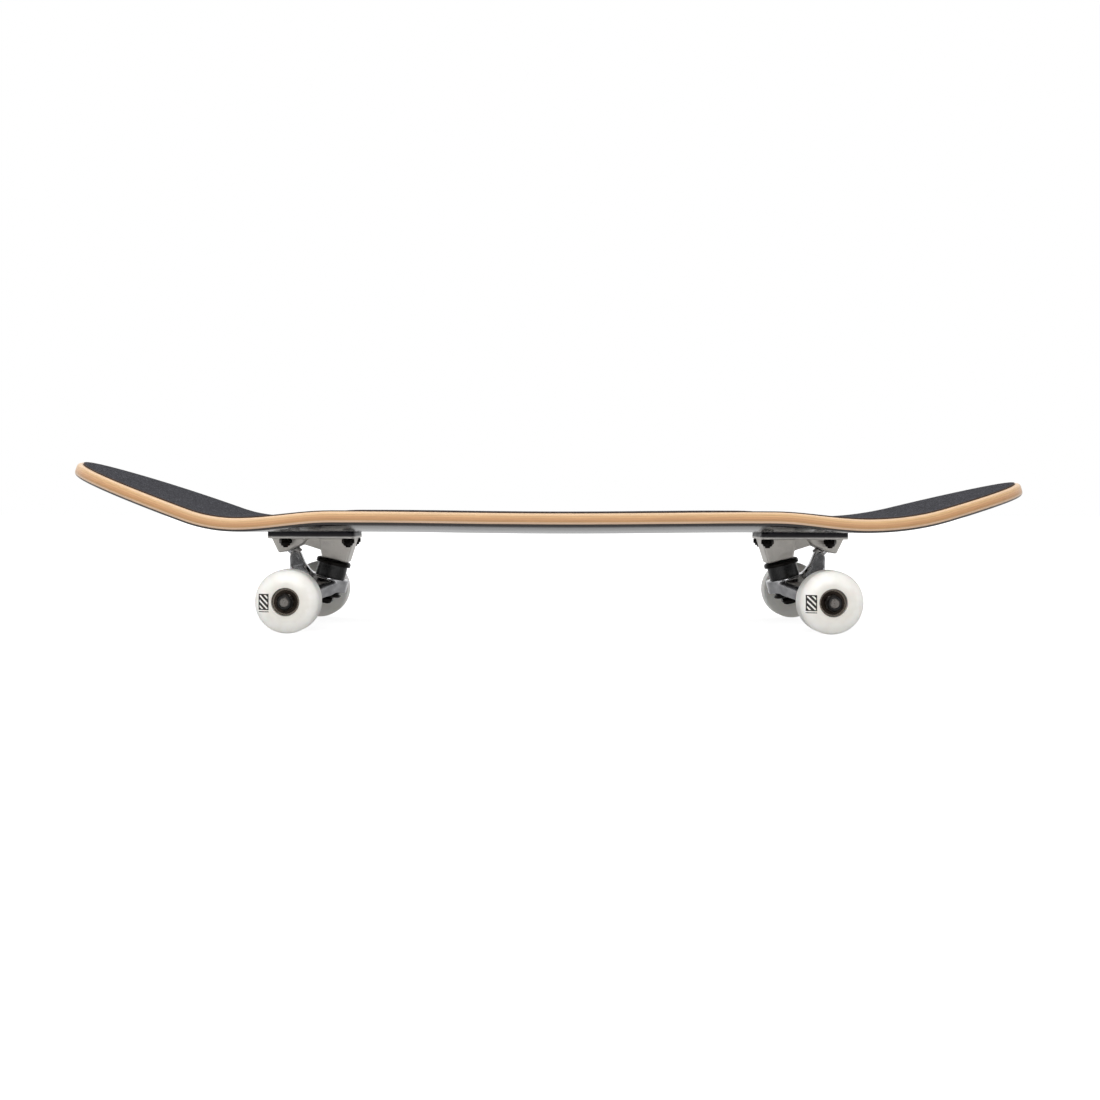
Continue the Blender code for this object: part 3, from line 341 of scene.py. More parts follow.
def maple_plies():
    finish = new_finish("hard_maple_plies", Roughness=0.48, IOR=1.5, Coat_Weight=0.25, Coat_Roughness=0.3)
    blank = add(finish, "Attribute", attribute_name="blank").outputs["Vector"]
    parts = add(finish, "SeparateXYZ", {0: blank})
    # Long streaks, about 0.8 mm across the sheet and 40 mm along it.
    stretch = add(finish, "Mapping", {"Vector": blank}, Scale=(25, 400, 1250))
    streaks = add(finish, "TexNoise", {"Vector": stretch.outputs[0]}, Scale=1.0, Detail=5.0, Roughness=0.6)
    # The cross sheets' pores and the tips' end grain, 0.7 mm.
    pores = add(finish, "TexNoise", {"Vector": blank}, Scale=1400.0, Detail=3.0, Roughness=0.7)
    # Broad changes of tone along the board, 90 mm.
    broad = add(finish, "TexNoise", {"Vector": blank}, Scale=11.0, Detail=2.0)
    wander = add(finish, "MapRange", {"Value": broad.outputs["Fac"]}, To_Min=-0.02, To_Max=0.02)
    height = add(finish, "Math", {0: parts.outputs["Z"], 1: DECK_THICKNESS * MM}, operation="DIVIDE")
    level = add(finish, "Math", {0: height.outputs[0], 1: wander.outputs[0]}, operation="ADD")
    sheets = add(finish, "ValToRGB", {0: level.outputs[0]})
    stops(sheets, *((index / PLY_COUNT, colour) for index, colour in enumerate(PLY_COLOURS)), mode="CONSTANT")
    in_sheet = add(finish, "Math", {0: level.outputs[0], 1: PLY_COUNT}, operation="MULTIPLY")
    share = add(finish, "Math", {0: in_sheet.outputs[0]}, operation="FRACT")
    # Glue shows as a line of about 0.15 mm at each joint.
    glue = add(finish, "ValToRGB", {0: share.outputs[0]})
    stops(glue, (0.0, 0.62), (0.07, 0.98), (0.93, 1.0), (1.0, 0.7))
    grain = spread(finish, streaks, 0.86, 1.08)
    spots = spread(finish, pores, 0.93, 1.05)
    shade = add(finish, "Math", {0: grain.outputs[0], 1: spots.outputs[0]}, operation="MULTIPLY")
    lined = add(finish, "VectorMath", {0: sheets.outputs[0], 1: glue.outputs[0]}, operation="MULTIPLY")
    toned = add(finish, "VectorMath", {0: lined.outputs[0], 1: shade.outputs[0]}, operation="MULTIPLY")
    # The end grain at the tips drinks less stain and looks paler.
    from_middle = add(finish, "Math", {0: parts.outputs["X"]}, operation="ABSOLUTE")
    tips = add(finish, "MapRange", {"Value": from_middle.outputs[0]}, From_Min=0.40, From_Max=0.425, To_Max=0.55)
    paler = add(finish, "Mix", {0: tips.outputs[0], 6: toned.outputs[0], 7: linear("#e6cdb3")}, data_type="RGBA")
    bump = add(finish, "Bump", {"Height": shade.outputs[0]}, Strength=0.12, Distance=0.1 * MM)
    rough = add(finish, "MapRange", {"Value": pores.outputs["Fac"]}, To_Min=0.40, To_Max=0.60)
    feed(finish, Base_Color=paler.outputs[2], Normal=bump.outputs[0], Roughness=rough.outputs[0])
    return finish


PLIES = maple_plies()
print("finish:", PLIES.name, "with", len(PLIES.node_tree.nodes), "nodes")

# %% [markdown]
# ### The stained underside
# The bottom sheet is stained black and sprayed with a clear gloss lacquer, so it mirrors the ground at a
# low angle, with the maple's grain faintly showing through.

# %% Black-stained maple under gloss lacquer


def stained_maple():
    finish = new_finish("black_stained_maple", IOR=1.38)
    blank = add(finish, "Attribute", attribute_name="blank").outputs["Vector"]
    # Grain lines run along the board, about 3 mm apart and 100 mm long.
    stretch = add(finish, "Mapping", {"Vector": blank}, Scale=(10, 330, 330))
    figure = add(finish, "TexNoise", {"Vector": stretch.outputs[0]}, Scale=1.0, Detail=6.0, Distortion=0.8)
    colour = stops(add(finish, "ValToRGB", {0: figure.outputs["Fac"]}), (0.35, "#0f0e10"), (0.65, "#1c1a1c"))
    rough = add(finish, "MapRange", {"Value": figure.outputs["Fac"]}, To_Min=0.10, To_Max=0.22)
    bump = add(finish, "Bump", {"Height": figure.outputs["Fac"]}, Strength=0.06, Distance=0.05 * MM)
    feed(finish, Base_Color=colour.outputs[0], Roughness=rough.outputs[0], Normal=bump.outputs[0])
    return finish


STAINED = stained_maple()

# %% [markdown]
# ### Grip tape
# Grip tape is silicon carbide grit glued to a black backing, about 80 grains to the inch. Real grains are
# 0.2 mm, too fine to show, so they are drawn at 0.9 mm. Each grain has its own tilt and a few catch the
# light. Where the tape is filed flush with the wood its rim is smoother and greyer.

# %% Silicon carbide grit


def grit():
    finish = new_finish("silicon_carbide_grit", Roughness=0.9, IOR=1.2)
    blank = add(finish, "Attribute", attribute_name="blank").outputs["Vector"]
    filed = add(finish, "Attribute", attribute_name="filed").outputs["Fac"]
    grains = add(finish, "TexVoronoi", {"Vector": blank}, Scale=1100.0)
    patches = add(finish, "TexNoise", {"Vector": blank}, Scale=420.0, Detail=4.0, Roughness=0.75)
    tone = add(finish, "SeparateColor", {0: grains.outputs["Color"]})
    speckle = stops(
        add(finish, "ValToRGB", {0: tone.outputs["Red"]}),
        (0.0, "#1b1b1f"), (0.55, "#29292e"), (0.85, "#36363c"), (0.97, "#585860"),
    )
    cloud = spread(finish, patches, 0.8, 1.15)
    black = add(finish, "VectorMath", {0: speckle.outputs[0], 1: cloud.outputs[0]}, operation="MULTIPLY")
    rim = add(finish, "Mix", {0: filed, 6: black.outputs[0], 7: linear("#4d4039")}, data_type="RGBA")
    height = add(finish, "Math", {0: grains.outputs["Distance"], 1: tone.outputs["Green"]}, operation="MULTIPLY")
    bump = add(finish, "Bump", {"Height": height.outputs[0]}, Strength=0.55, Distance=0.35 * MM)
    rough = add(finish, "MapRange", {"Value": tone.outputs["Blue"]}, To_Min=0.7, To_Max=1.0)
    feed(finish, Base_Color=rim.outputs[2], Normal=bump.outputs[0], Roughness=rough.outputs[0])
    return finish


GRIT = grit()

# %% [markdown]
# ### Aluminium
# The baseplate is sand cast and tumbled, so it is a soft grey with small pits. Its upper rim carries painted
# shade, as under the deck, with a painted highlight along its lower edge. The hanger is cast too, and then
# polished: its colour is the same metal, but it mirrors what stands round it, a little unevenly.

# %% Tumbled cast aluminium and polished aluminium


def cast_aluminium():
    finish = new_finish("tumbled_cast_aluminium", Metallic=1.0)
    place = add(finish, "TexCoord").outputs["Object"]
    # Casting skin, 0.9 mm, and blotches left by the tumbling stones, 8 mm.
    skin = add(finish, "TexNoise", {"Vector": place}, Scale=1100.0, Detail=4.0, Roughness=0.7)
    blotch = add(finish, "TexNoise", {"Vector": place}, Scale=120.0, Detail=3.0)
    pits = add(finish, "TexVoronoi", {"Vector": place}, Scale=420.0)
    pit = stops(add(finish, "ValToRGB", {0: pits.outputs["Distance"]}), (0.0, 0.55), (0.14, 1.0))
    colour = stops(add(finish, "ValToRGB", {0: blotch.outputs["Fac"]}), (0.3, "#c2bfbb"), (0.7, "#dad7d3"))
    toned = add(finish, "VectorMath", {0: colour.outputs[0], 1: pit.outputs[0]}, operation="MULTIPLY")
    # The plate's upper rim gets painted shade, as in the deck's shadow, and a painted highlight along its lower
    # edge.
    drawn_at = add(finish, "Attribute", attribute_name="drawn").outputs["Vector"]
    depth = add(finish, "SeparateXYZ", {0: drawn_at}).outputs["Z"]
    down = add(finish, "MapRange", {"Value": depth}, From_Min=0.0, From_Max=-8 * MM)
    rim = stops(
        add(finish, "ValToRGB", {0: down.outputs[0]}),
        (0.0, "#33333a"), (0.36, "#4a4a4e"), (0.46, "#77777a"), (0.56, "#ffffff"),
        (0.66, "#ffffff"), (0.76, "#f4f2ef"), (1.0, "#f7f6f4"),
    )
    toned = add(finish, "VectorMath", {0: toned.outputs[0], 1: rim.outputs[0]}, operation="MULTIPLY")
    rough = spread(finish, blotch, 0.34, 0.5)
    height = add(finish, "Math", {0: skin.outputs["Fac"], 1: pit.outputs[0]}, operation="MULTIPLY")
    bump = add(finish, "Bump", {"Height": height.outputs[0]}, Strength=0.35, Distance=0.12 * MM)
    feed(finish, Base_Color=toned.outputs[0], Roughness=rough.outputs[0], Normal=bump.outputs[0])
    return finish


def polished_aluminium():
    finish = new_finish("polished_aluminium", Metallic=1.0)
    place = add(finish, "TexCoord").outputs["Object"]
    # The wheel leaves soft waves of 6 mm and hairlines of 0.5 mm along the axle.
    waves = add(finish, "TexNoise", {"Vector": place}, Scale=160.0, Detail=1.5)
    lines = add(finish, "Mapping", {"Vector": place}, Scale=(2000, 120, 2000))
    hair = add(finish, "TexNoise", {"Vector": lines.outputs[0]}, Scale=1.0, Detail=2.0)
    colour = stops(add(finish, "ValToRGB", {0: waves.outputs["Fac"]}), (0.3, "#b0b0b3"), (0.7, "#cfcfd1"))
    rough = spread(finish, hair, 0.10, 0.2)
    soft = add(finish, "Bump", {"Height": waves.outputs["Fac"]}, Strength=0.35, Distance=0.5 * MM)
    inputs = {"Height": hair.outputs["Fac"], "Normal": soft.outputs[0]}
    fine = add(finish, "Bump", inputs, Strength=0.12, Distance=0.05 * MM)
    feed(finish, Base_Color=colour.outputs[0], Roughness=rough.outputs[0], Normal=fine.outputs[0])
    return finish


CAST = cast_aluminium()
POLISHED = polished_aluminium()

# %% [markdown]
# ### Steel
# Steel comes in three dresses here: bright zinc plate on the axle and washers, black oxide on the bolts,
# nuts and cups, and the dark ground steel of a bearing. A turned piece keeps the fine rings of the lathe.

# %% Zinc plate, black oxide and bearing steel


def turned_steel(name, dark, light, roughness, ring_pitch=0.5):
    finish = new_finish(name, Metallic=1.0)
    place = add(finish, "Attribute", attribute_name="drawn").outputs["Vector"]
    parts = add(finish, "SeparateXYZ", {0: place})
    flat = add(finish, "CombineXYZ", {0: parts.outputs["X"], 1: parts.outputs["Y"]})
    radius = add(finish, "VectorMath", {0: flat.outputs[0]}, operation="LENGTH")
    turns_per_metre = 2 * math.pi / (ring_pitch * MM)
    turns = add(finish, "Math", {0: radius.outputs["Value"], 1: turns_per_metre}, operation="MULTIPLY")
    rings = add(finish, "Math", {0: turns.outputs[0]}, operation="SINE")
    dirt = add(finish, "TexNoise", {"Vector": place}, Scale=700.0, Detail=4.0, Roughness=0.7)
    colour = stops(add(finish, "ValToRGB", {0: dirt.outputs["Fac"]}), (0.3, dark), (0.7, light))
    rough = spread(finish, dirt, roughness - 0.07, roughness + 0.10)
    both = add(finish, "Math", {0: rings.outputs[0], 1: dirt.outputs["Fac"]}, operation="ADD")
    bump = add(finish, "Bump", {"Height": both.outputs[0]}, Strength=0.12, Distance=0.05 * MM)
    feed(finish, Base_Color=colour.outputs[0], Roughness=rough.outputs[0], Normal=bump.outputs[0])
    return finish


ZINC = turned_steel("zinc_plated_steel", "#77726e", "#989490", 0.32)
BLACK_OXIDE = turned_steel("black_oxide_steel", "#141313", "#292725", 0.36)
RACE = turned_steel("bearing_race_steel", "#6d655d", "#8e857b", 0.28, 0.7)
SHIELD = turned_steel("bearing_shield", "#2c2622", "#4a413a", 0.42, 0.6)

# %% [markdown]
# ### Urethane and nylon
# Wheels and bushings are cast urethane, a slightly waxy plastic. A white wheel is never quite white: it
# is darker and warmer towards its core, with the lathe's rings on the tread. The print on its outer face is
# one pass of black ink. Nylon is drier, and its moulded surface is faintly grained.

# %% White urethane with its print, black urethane and nylon
WHEEL_WIDTH = 31.0  # mm
PRINT_MIDDLE = 17.6  # mm from the axle
PRINT_WIDTH, PRINT_HEIGHT = 8.6, 13.0
STRIPE_PITCH = 4.4


def inside(finish, value, low, high):
    """1 where a value is between two bounds in millimetres."""
    above = add(finish, "Math", {0: value, 1: low * MM}, operation="GREATER_THAN")
    below = add(finish, "Math", {0: value, 1: high * MM}, operation="LESS_THAN")
    return add(finish, "Math", {0: above.outputs[0], 1: below.outputs[0]}, operation="MULTIPLY").outputs[0]


def times(finish, *values):
    product = values[0]
    for value in values[1:]:
        product = add(finish, "Math", {0: product, 1: value}, operation="MULTIPLY").outputs[0]
    return product


def white_urethane():
    finish = new_finish("white_cast_urethane", IOR=1.5, Subsurface_Weight=0.08, Subsurface_Scale=2 * MM)
    place = add(finish, "Attribute", attribute_name="drawn").outputs["Vector"]
    parts = add(finish, "SeparateXYZ", {0: place})
    across, up, out = parts.outputs["X"], parts.outputs["Y"], parts.outputs["Z"]
    flat = add(finish, "CombineXYZ", {0: across, 1: up})
    radius = add(finish, "VectorMath", {0: flat.outputs[0]}, operation="LENGTH").outputs["Value"]
    cloud = add(finish, "TexNoise", {"Vector": place}, Scale=90.0, Detail=3.0)
    # Darker and warmer towards the core, between 10 and 20 mm from the axle, broken up by a cloud.
    tint = add(finish, "MapRange", {"Value": radius}, From_Min=10 * MM, From_Max=20 * MM)
    core_gradient = add(finish, "Math", {0: tint.outputs[0], 1: cloud.outputs["Fac"]}, operation="MULTIPLY")
    body = add(finish, "ValToRGB", {0: core_gradient.outputs[0]})
    stops(body, (0.0, "#dcd8d0"), (0.45, "#eeece6"), (0.7, "#f3f2ee"))
    # One black label: a block of diagonal bars with a thin rule below it.
    outer_face = inside(finish, out, 9, 40)
    block = times(
        finish,
        outer_face,
        inside(finish, across, -PRINT_MIDDLE - PRINT_WIDTH / 2, -PRINT_MIDDLE + PRINT_WIDTH / 2),
        inside(finish, up, -PRINT_HEIGHT / 2, PRINT_HEIGHT / 2),
    )
    slope = add(finish, "Math", {0: across, 1: up}, operation="ADD")
    bars = add(finish, "Math", {0: slope.outputs[0], 1: STRIPE_PITCH / 2 * MM}, operation="PINGPONG")
    bar_mask = add(finish, "Math", {0: bars.outputs[0], 1: STRIPE_PITCH * 0.3 * MM}, operation="GREATER_THAN")
    core = times(
        finish,
        bar_mask.outputs[0],
        inside(finish, across, -PRINT_MIDDLE - PRINT_WIDTH / 2 + 0.9, -PRINT_MIDDLE + PRINT_WIDTH / 2 - 0.9),
        inside(finish, up, -PRINT_HEIGHT / 2 + 0.9, PRINT_HEIGHT / 2 - 0.9),
    )
    spared = add(finish, "Math", {0: 1.0, 1: core}, operation="SUBTRACT")
    rule = times(
        finish,
        outer_face,
        inside(finish, across, -PRINT_MIDDLE - PRINT_WIDTH / 2, -PRINT_MIDDLE + PRINT_WIDTH / 2),
        inside(finish, up, -PRINT_HEIGHT / 2 - 1.7, -PRINT_HEIGHT / 2 - 1.0),
    )
    stripes = times(finish, block, spared.outputs[0])
    ink = add(finish, "Math", {0: stripes, 1: rule}, operation="MAXIMUM", use_clamp=True)
    printed = add(finish, "Mix", {0: ink.outputs[0], 6: body.outputs[0], 7: linear("#1c1b1b")}, data_type="RGBA")
    # Lathe rings of 0.6 mm on the tread, and a waxy skin.
    lathe = add(finish, "Math", {0: out, 1: 2 * math.pi / (0.6 * MM)}, operation="MULTIPLY")
    rings = add(finish, "Math", {0: lathe.outputs[0]}, operation="SINE")
    on_tread = add(finish, "MapRange", {"Value": radius}, From_Min=25.6 * MM, From_Max=25.9 * MM)
    ridges = add(finish, "Math", {0: rings.outputs[0], 1: on_tread.outputs[0]}, operation="MULTIPLY")
    skin = add(finish, "TexNoise", {"Vector": place}, Scale=600.0, Detail=2.0)
    height = add(finish, "Math", {0: ridges.outputs[0], 1: skin.outputs["Fac"]}, operation="ADD")
    bump = add(finish, "Bump", {"Height": height.outputs[0]}, Strength=0.1, Distance=0.06 * MM)
    rough = add(finish, "MapRange", {"Value": cloud.outputs["Fac"]}, To_Min=0.26, To_Max=0.42)
    feed(finish, Base_Color=printed.outputs[2], Normal=bump.outputs[0], Roughness=rough.outputs[0])
    return finish


def moulded(name, dark, light, roughness, grain):
    """A moulded or cast plastic: two close tones and a grain of this size in millimetres."""
    finish = new_finish(name, IOR=1.5)
    place = add(finish, "Attribute", attribute_name="drawn").outputs["Vector"]
    skin = add(finish, "TexNoise", {"Vector": place}, Detail=4.0, Roughness=0.65)
    skin.inputs["Scale"].default_value = 1 / (grain * MM)
    broad = add(finish, "TexNoise", {"Vector": place}, Scale=150.0, Detail=2.0)
    colour = stops(add(finish, "ValToRGB", {0: broad.outputs["Fac"]}), (0.3, dark), (0.7, light))
    rough = spread(finish, skin, roughness - 0.08, roughness + 0.1)
    bump = add(finish, "Bump", {"Height": skin.outputs["Fac"]}, Strength=0.2, Distance=0.08 * MM)
    feed(finish, Base_Color=colour.outputs[0], Roughness=rough.outputs[0], Normal=bump.outputs[0])
    return finish


WHITE_URETHANE = white_urethane()
BLACK_URETHANE = moulded("black_cast_urethane", "#060607", "#0e0e10", 0.3, 1.2)
NYLON = moulded("black_moulded_nylon", "#121213", "#1e1e20", 0.5, 0.8)

# %% [markdown]
# ## Deck
# A deck starts as a flat blank of seven glued sheets, which a press bends: the nose and tail turn up, the
# rails rise a little over the flat middle, and the middle sags by a millimetre. It is made here in the
# same order. A disc is drawn out to the blank's outline, given its thickness and a round edge, sliced so
# that it can bend, and then every point is moved by the press. Each point keeps its place in the flat
# blank for the grain and the plies.

# %% The press
MIDDLE_X = sum((TRUCKS[end].translation.x for end in ENDS)) / 2
TRUCK_X = TRUCKS["tail"].translation.x - MIDDLE_X
DECK_BOTTOM = TRUCKS["nose"].translation.z + 0.3 * MM
WHEELBASE = 361.95 * MM
OUTER_BOLTS = 234.975 * MM  # from the middle
FLAT_STRIP = 60 * MM
CONCAVE, KICK_CONCAVE, CONCAVE_FADE = 7.4 * MM, 1.3 * MM, 75 * MM
ROCKER, ROCKER_MARGIN = 1.3 * MM, 20 * MM
DECK_WIDTH, TAIL_WIDTH, TAIL_TAPER = 209.5 * MM, 207.0 * MM, 100 * MM
# The tips are measured before their edge is rounded. Rounding pulls them in, so they are drawn 0.7 and
# 0.55 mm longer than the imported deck's, and end where its tips end.
KICKS = {
    # side, length past the outer bolts, start of the bend, its radius and angle, length of the round end
    "nose": (-1, 185.0 * MM, 24.4 * MM, 128 * MM, math.radians(20.05), 138 * MM),
    "tail": (1, 170.15 * MM, 12.8 * MM, 264 * MM, math.radians(15.53), 180 * MM),
}


def bend_start(kick):
    side, _, start, _, _, _ = KICKS[kick]
    return MIDDLE_X + side * (OUTER_BOLTS + start)


def tip(kick):
    """Where the flat blank ends."""
    side, length, start, radius, angle, _ = KICKS[kick]
    wood = radius * angle + (length - start - radius * math.sin(angle)) / math.cos(angle)
    return bend_start(kick) + side * wood


def eased(share):
    share = min(1.0, max(0.0, share))
    return share * share * (3 - 2 * share)


def half_width(along):
    tail_start = tip("tail") - KICKS["tail"][5] - TAIL_TAPER
    width = DECK_WIDTH + (TAIL_WIDTH - DECK_WIDTH) * eased((along - tail_start) / TAIL_TAPER)
    for kick in ENDS:
        share = abs(along - tip(kick)) / KICKS[kick][5]
        if share < 1:
            width *= math.sqrt(max(0.0, 1 - (1 - share) ** 2))
    return width / 2


def pressed(along, across, height):
    """Where the press puts a point of the blank. Height is measured up from its underside."""
    kick = "nose" if along < MIDDLE_X else "tail"
    side, _, _, radius, angle, _ = KICKS[kick]
    beyond = (along - bend_start(kick)) * side
    rail = KICK_CONCAVE + (CONCAVE - KICK_CONCAVE) * eased(-beyond / CONCAVE_FADE)
    up_rail = max(0.0, abs(across) - FLAT_STRIP / 2) / (DECK_WIDTH / 2 - FLAT_STRIP / 2)
    sag = max(0.0, 1 - ((along - MIDDLE_X) / (WHEELBASE / 2 - ROCKER_MARGIN)) ** 2)
    height += rail * up_rail**2 - ROCKER * sag**2
    if beyond <= 0:
        return Vector((along, across, DECK_BOTTOM + height))
    turn = min(beyond / radius, angle)
    straight = max(0.0, beyond - radius * angle)
    out = radius * math.sin(turn) + straight * math.cos(angle) - height * math.sin(turn)
    rise = radius * (1 - math.cos(turn)) + straight * math.sin(angle) + height * math.cos(turn)
    return Vector((bend_start(kick) + side * out, across, DECK_BOTTOM + rise))


print("blank:", round((tip("tail") - tip("nose")) * 1000, 1), "mm long before the press")

# %% The blank and its slices
QUARTER, STRAIGHT = 36, 24  # outline points round a quarter of an end, and along one side


def blank_outline():
    turns = [math.pi / 2 * step / QUARTER for step in range(QUARTER)]
    nose_in, tail_in = tip("nose") + KICKS["nose"][5], tip("tail") - KICKS["tail"][5]
    along = [nose_in - KICKS["nose"][5] * math.cos(turn) for turn in turns]
    along += [nose_in + (tail_in - nose_in) * step / STRAIGHT for step in range(STRAIGHT)]
    along += [tail_in + KICKS["tail"][5] * math.cos(turn) for turn in reversed(turns)]
    edge = [(place, -half_width(place)) for place in along]
    return edge + [(place, -across) for place, across in reversed(edge[1:-1])]


def blank(name, inset=0.0):
    """The blank's outline as one face at height 0, optionally smaller all round."""
    points = blank_outline()
    bpy.ops.object.select_all(action="DESELECT")
    bpy.ops.mesh.primitive_circle_add(vertices=len(points), radius=0.1, fill_type="NGON")
    piece = bpy.context.object
    piece.name = piece.data.name = name
    for vertex, (along, across) in zip(piece.data.vertices, points):
        vertex.co = (along, across, 0)
    bpy.ops.object.mode_set(mode="EDIT")
    bpy.ops.mesh.select_all(action="SELECT")
    bpy.ops.mesh.normals_make_consistent(inside=False)
    if inset:
        bpy.ops.mesh.inset(thickness=inset)
        bpy.ops.mesh.select_all(action="INVERT")
        bpy.ops.mesh.delete(type="VERT")
    return piece


def sliced(piece):
    """Slices the piece across wherever the press bends it, and along its rails."""
    only(piece)
    bpy.ops.object.mode_set(mode="EDIT")
    slices = []
    for kick in ENDS:
        side, _, _, radius, angle, _ = KICKS[kick]
        start = bend_start(kick)
        slices += [(start + side * radius * angle * step / 16, 0, (1, 0, 0)) for step in range(17)]
        slices += [(start - side * CONCAVE_FADE * step / 12, 0, (1, 0, 0)) for step in range(1, 13)]
    first, last = bend_start("nose") + CONCAVE_FADE, bend_start("tail") - CONCAVE_FADE
    slices += [(first + (last - first) * step / 16, 0, (1, 0, 0)) for step in range(1, 16)]
    rails = [FLAT_STRIP / 2 + (DECK_WIDTH - FLAT_STRIP) / 2 * step / 8 for step in range(8)]
    slices += [(0, side * rail, (0, 1, 0)) for rail in rails for side in (-1, 1)]
    for along, across, normal in slices:
        bpy.ops.mesh.select_all(action="SELECT")
        bpy.ops.mesh.bisect(plane_co=(along, across, 0), plane_no=normal)
    bpy.ops.object.mode_set(mode="OBJECT")
    return piece


def press(piece):
    """Notes each point's place in the flat blank, then bends the piece."""
    held = piece.data.attributes.new("blank", "FLOAT_VECTOR", "POINT")
    held.data.foreach_set("vector", [value for vertex in piece.data.vertices for value in vertex.co])
    for vertex in piece.data.vertices:
        vertex.co = pressed(*vertex.co)
    return tidy(piece)


# %% Press the deck
EDGE_ROUND = 3.2
deck = blank("pressed_maple_deck")
bpy.ops.mesh.extrude_region_move(TRANSFORM_OT_translate={"value": (0, 0, DECK_THICKNESS * MM)})
tidy(deck)
rounded(deck, EDGE_ROUND * MM, segments=6, angle=60)
press(sliced(deck))
smooth(deck, 40)
deck.data.materials.append(PLIES)
deck.data.materials.append(STAINED)
for face in deck.data.polygons:  # the underside, which faces down
    heights = [deck.data.attributes["blank"].data[v].vector.z for v in face.vertices]
    face.material_index = 1 if max(heights) < 0.12 * MM else 0
print("deck:", len(deck.data.polygons), "faces")

# %% [markdown]
# ### Grip tape
# The tape is cut from a sheet that is laid on the pressed deck and trimmed along the edge with a file. It
# is the same blank, a little smaller, pressed at the height of the deck's top. A narrow band round it,
# where the file ran, is marked with an attribute of its own.

# %% Lay the grip tape
GRIP_INSET = (1.1 + EDGE_ROUND) * MM
GRIP_THICKNESS = 1.07
FILED_BAND = 1.4
grip = blank("grit_sheet", GRIP_INSET)
bpy.ops.mesh.select_all(action="SELECT")
bpy.ops.transform.translate(value=(0, 0, (DECK_THICKNESS + 0.03) * MM))
bpy.ops.mesh.extrude_region_move(TRANSFORM_OT_translate={"value": (0, 0, GRIP_THICKNESS * MM)})
bpy.ops.mesh.inset(thickness=FILED_BAND * MM)
bpy.ops.object.mode_set(mode="OBJECT")
inner = {v for face in grip.data.polygons if face.select for v in face.vertices}
filed = grip.data.attributes.new("filed", "FLOAT", "POINT")
filed.data.foreach_set("value", [0.0 if vertex.index in inner else 1.0 for vertex in grip.data.vertices])
tidy(grip)
press(sliced(grip))
smooth(grip, 40)
grip.data.materials.append(GRIT)

# %% Drill both for the truck bolts


def bolt_places():
    return {
        f"{end}_{row}_{side}": middle(f"{end}_{row}_{side}_bolt")
        for end in ENDS
        for row in ("inner", "outer")
        for side in SIDES
    }


BOLTS = bolt_places()
BOLT_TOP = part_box("nose_inner_left_bolt")[1].z


def drill(piece, profile):
    drills = [
        placed(turned("drill", profile, 32), Matrix.Translation((place.x, place.y, BOLT_TOP)))
        for place in BOLTS.values()
    ]
    only(drills[0])
    for tool in drills:
        tool.select_set(True)
    bpy.ops.object.join()
    return cut(piece, "DIFFERENCE", bpy.context.object)


countersink = [(0, 3), (4.9, 3), (4.9, -0.5), (2.7, -3.0), (2.7, -30), (0, -30)]
drill(deck, countersink)
drill(grip, countersink)
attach(deck, "board")
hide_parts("deck")
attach(grip, "board")
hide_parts("grip_tape")
print("drilled:", len(deck.data.polygons), "and", len(grip.data.polygons), "faces")

# %% [markdown]
# ## Truck bolts and nuts
# Eight black bolts hold the trucks. Each has a flat countersunk head with a hexagonal socket and sits
# level with the tape; below, a lock nut with a nylon ring holds it. A bolt is turned from its profile,
# with real thread ridges where it comes out of the nut, and its socket is cut with a six-sided bar. A nut
# is a six-sided bar whose corners are turned off, which leaves the curved facets that every real nut has.

# %% Bolt and lock nut


def threaded(radius, low, high, pitch=0.8, depth=0.35):
    """A thread's outline, from high to low."""
    points, height = [], high
    while height > low + pitch:
        points += [(radius - depth, height), (radius, height - pitch / 2)]
        height -= pitch
    return [*points, (radius - depth, low + 0.3), (radius - depth, low)]


def flat_bolt():
    shaft = threaded(2.4, -25.4, -8.0)
    outline = [(0, 0), (4.45, 0), (4.6, -0.15), (4.6, -0.4), (2.4, -2.6), (2.4, -8.0), *shaft, (0, -25.4)]
    bolt = turned("bolt_pattern", outline, 32)
    cut(bolt, "DIFFERENCE", bar("socket", 1.85, -1.6, 1, 6))
    return finished(bolt, BLACK_OXIDE, 30)


def lock_nut(name, flats, height, bore):
    """A nut from z 0 up. Its top third is the collar that holds the nylon ring."""
    corner = flats / 2 / math.cos(math.pi / 6)
    nut = bar(name, corner, 0, height, 6)
    collar = height * 0.7
    barrel = [
        (0, height), (flats * 0.36, height), (flats * 0.42, height - 0.45), (flats * 0.44, collar + 0.25),
        (flats * 0.46, collar), (corner, collar - (corner - flats * 0.46) * 0.5),
        (corner, (corner - flats * 0.47) * 0.5), (flats * 0.47, 0), (0, 0),
    ]
    cut(nut, "INTERSECT", turned("barrel", barrel, 48))
    hole = [
        (0, height + 1), (bore + 0.9, height + 1), (bore + 0.9, height - 0.8), (bore, height - 0.8),
        (bore, 0.5), (bore + 0.5, 0), (bore + 0.5, -1), (0, -1),
    ]
    cut(nut, "DIFFERENCE", turned("bore", hole, 32))
    rounded(nut, 0.12 * MM, 2, 30)
    return finished(nut, BLACK_OXIDE, 30)


def nylon_ring(name, height, bore):
    section = [
        (bore + 0.85, height - 0.15), (bore + 0.85, height - 0.8), (bore + 0.02, height - 0.8),
        (bore + 0.02, height - 0.35), (bore + 0.2, height - 0.15),
    ]
    ring = turned(name, section, 32, ring=True)
    return finished(ring, NYLON)


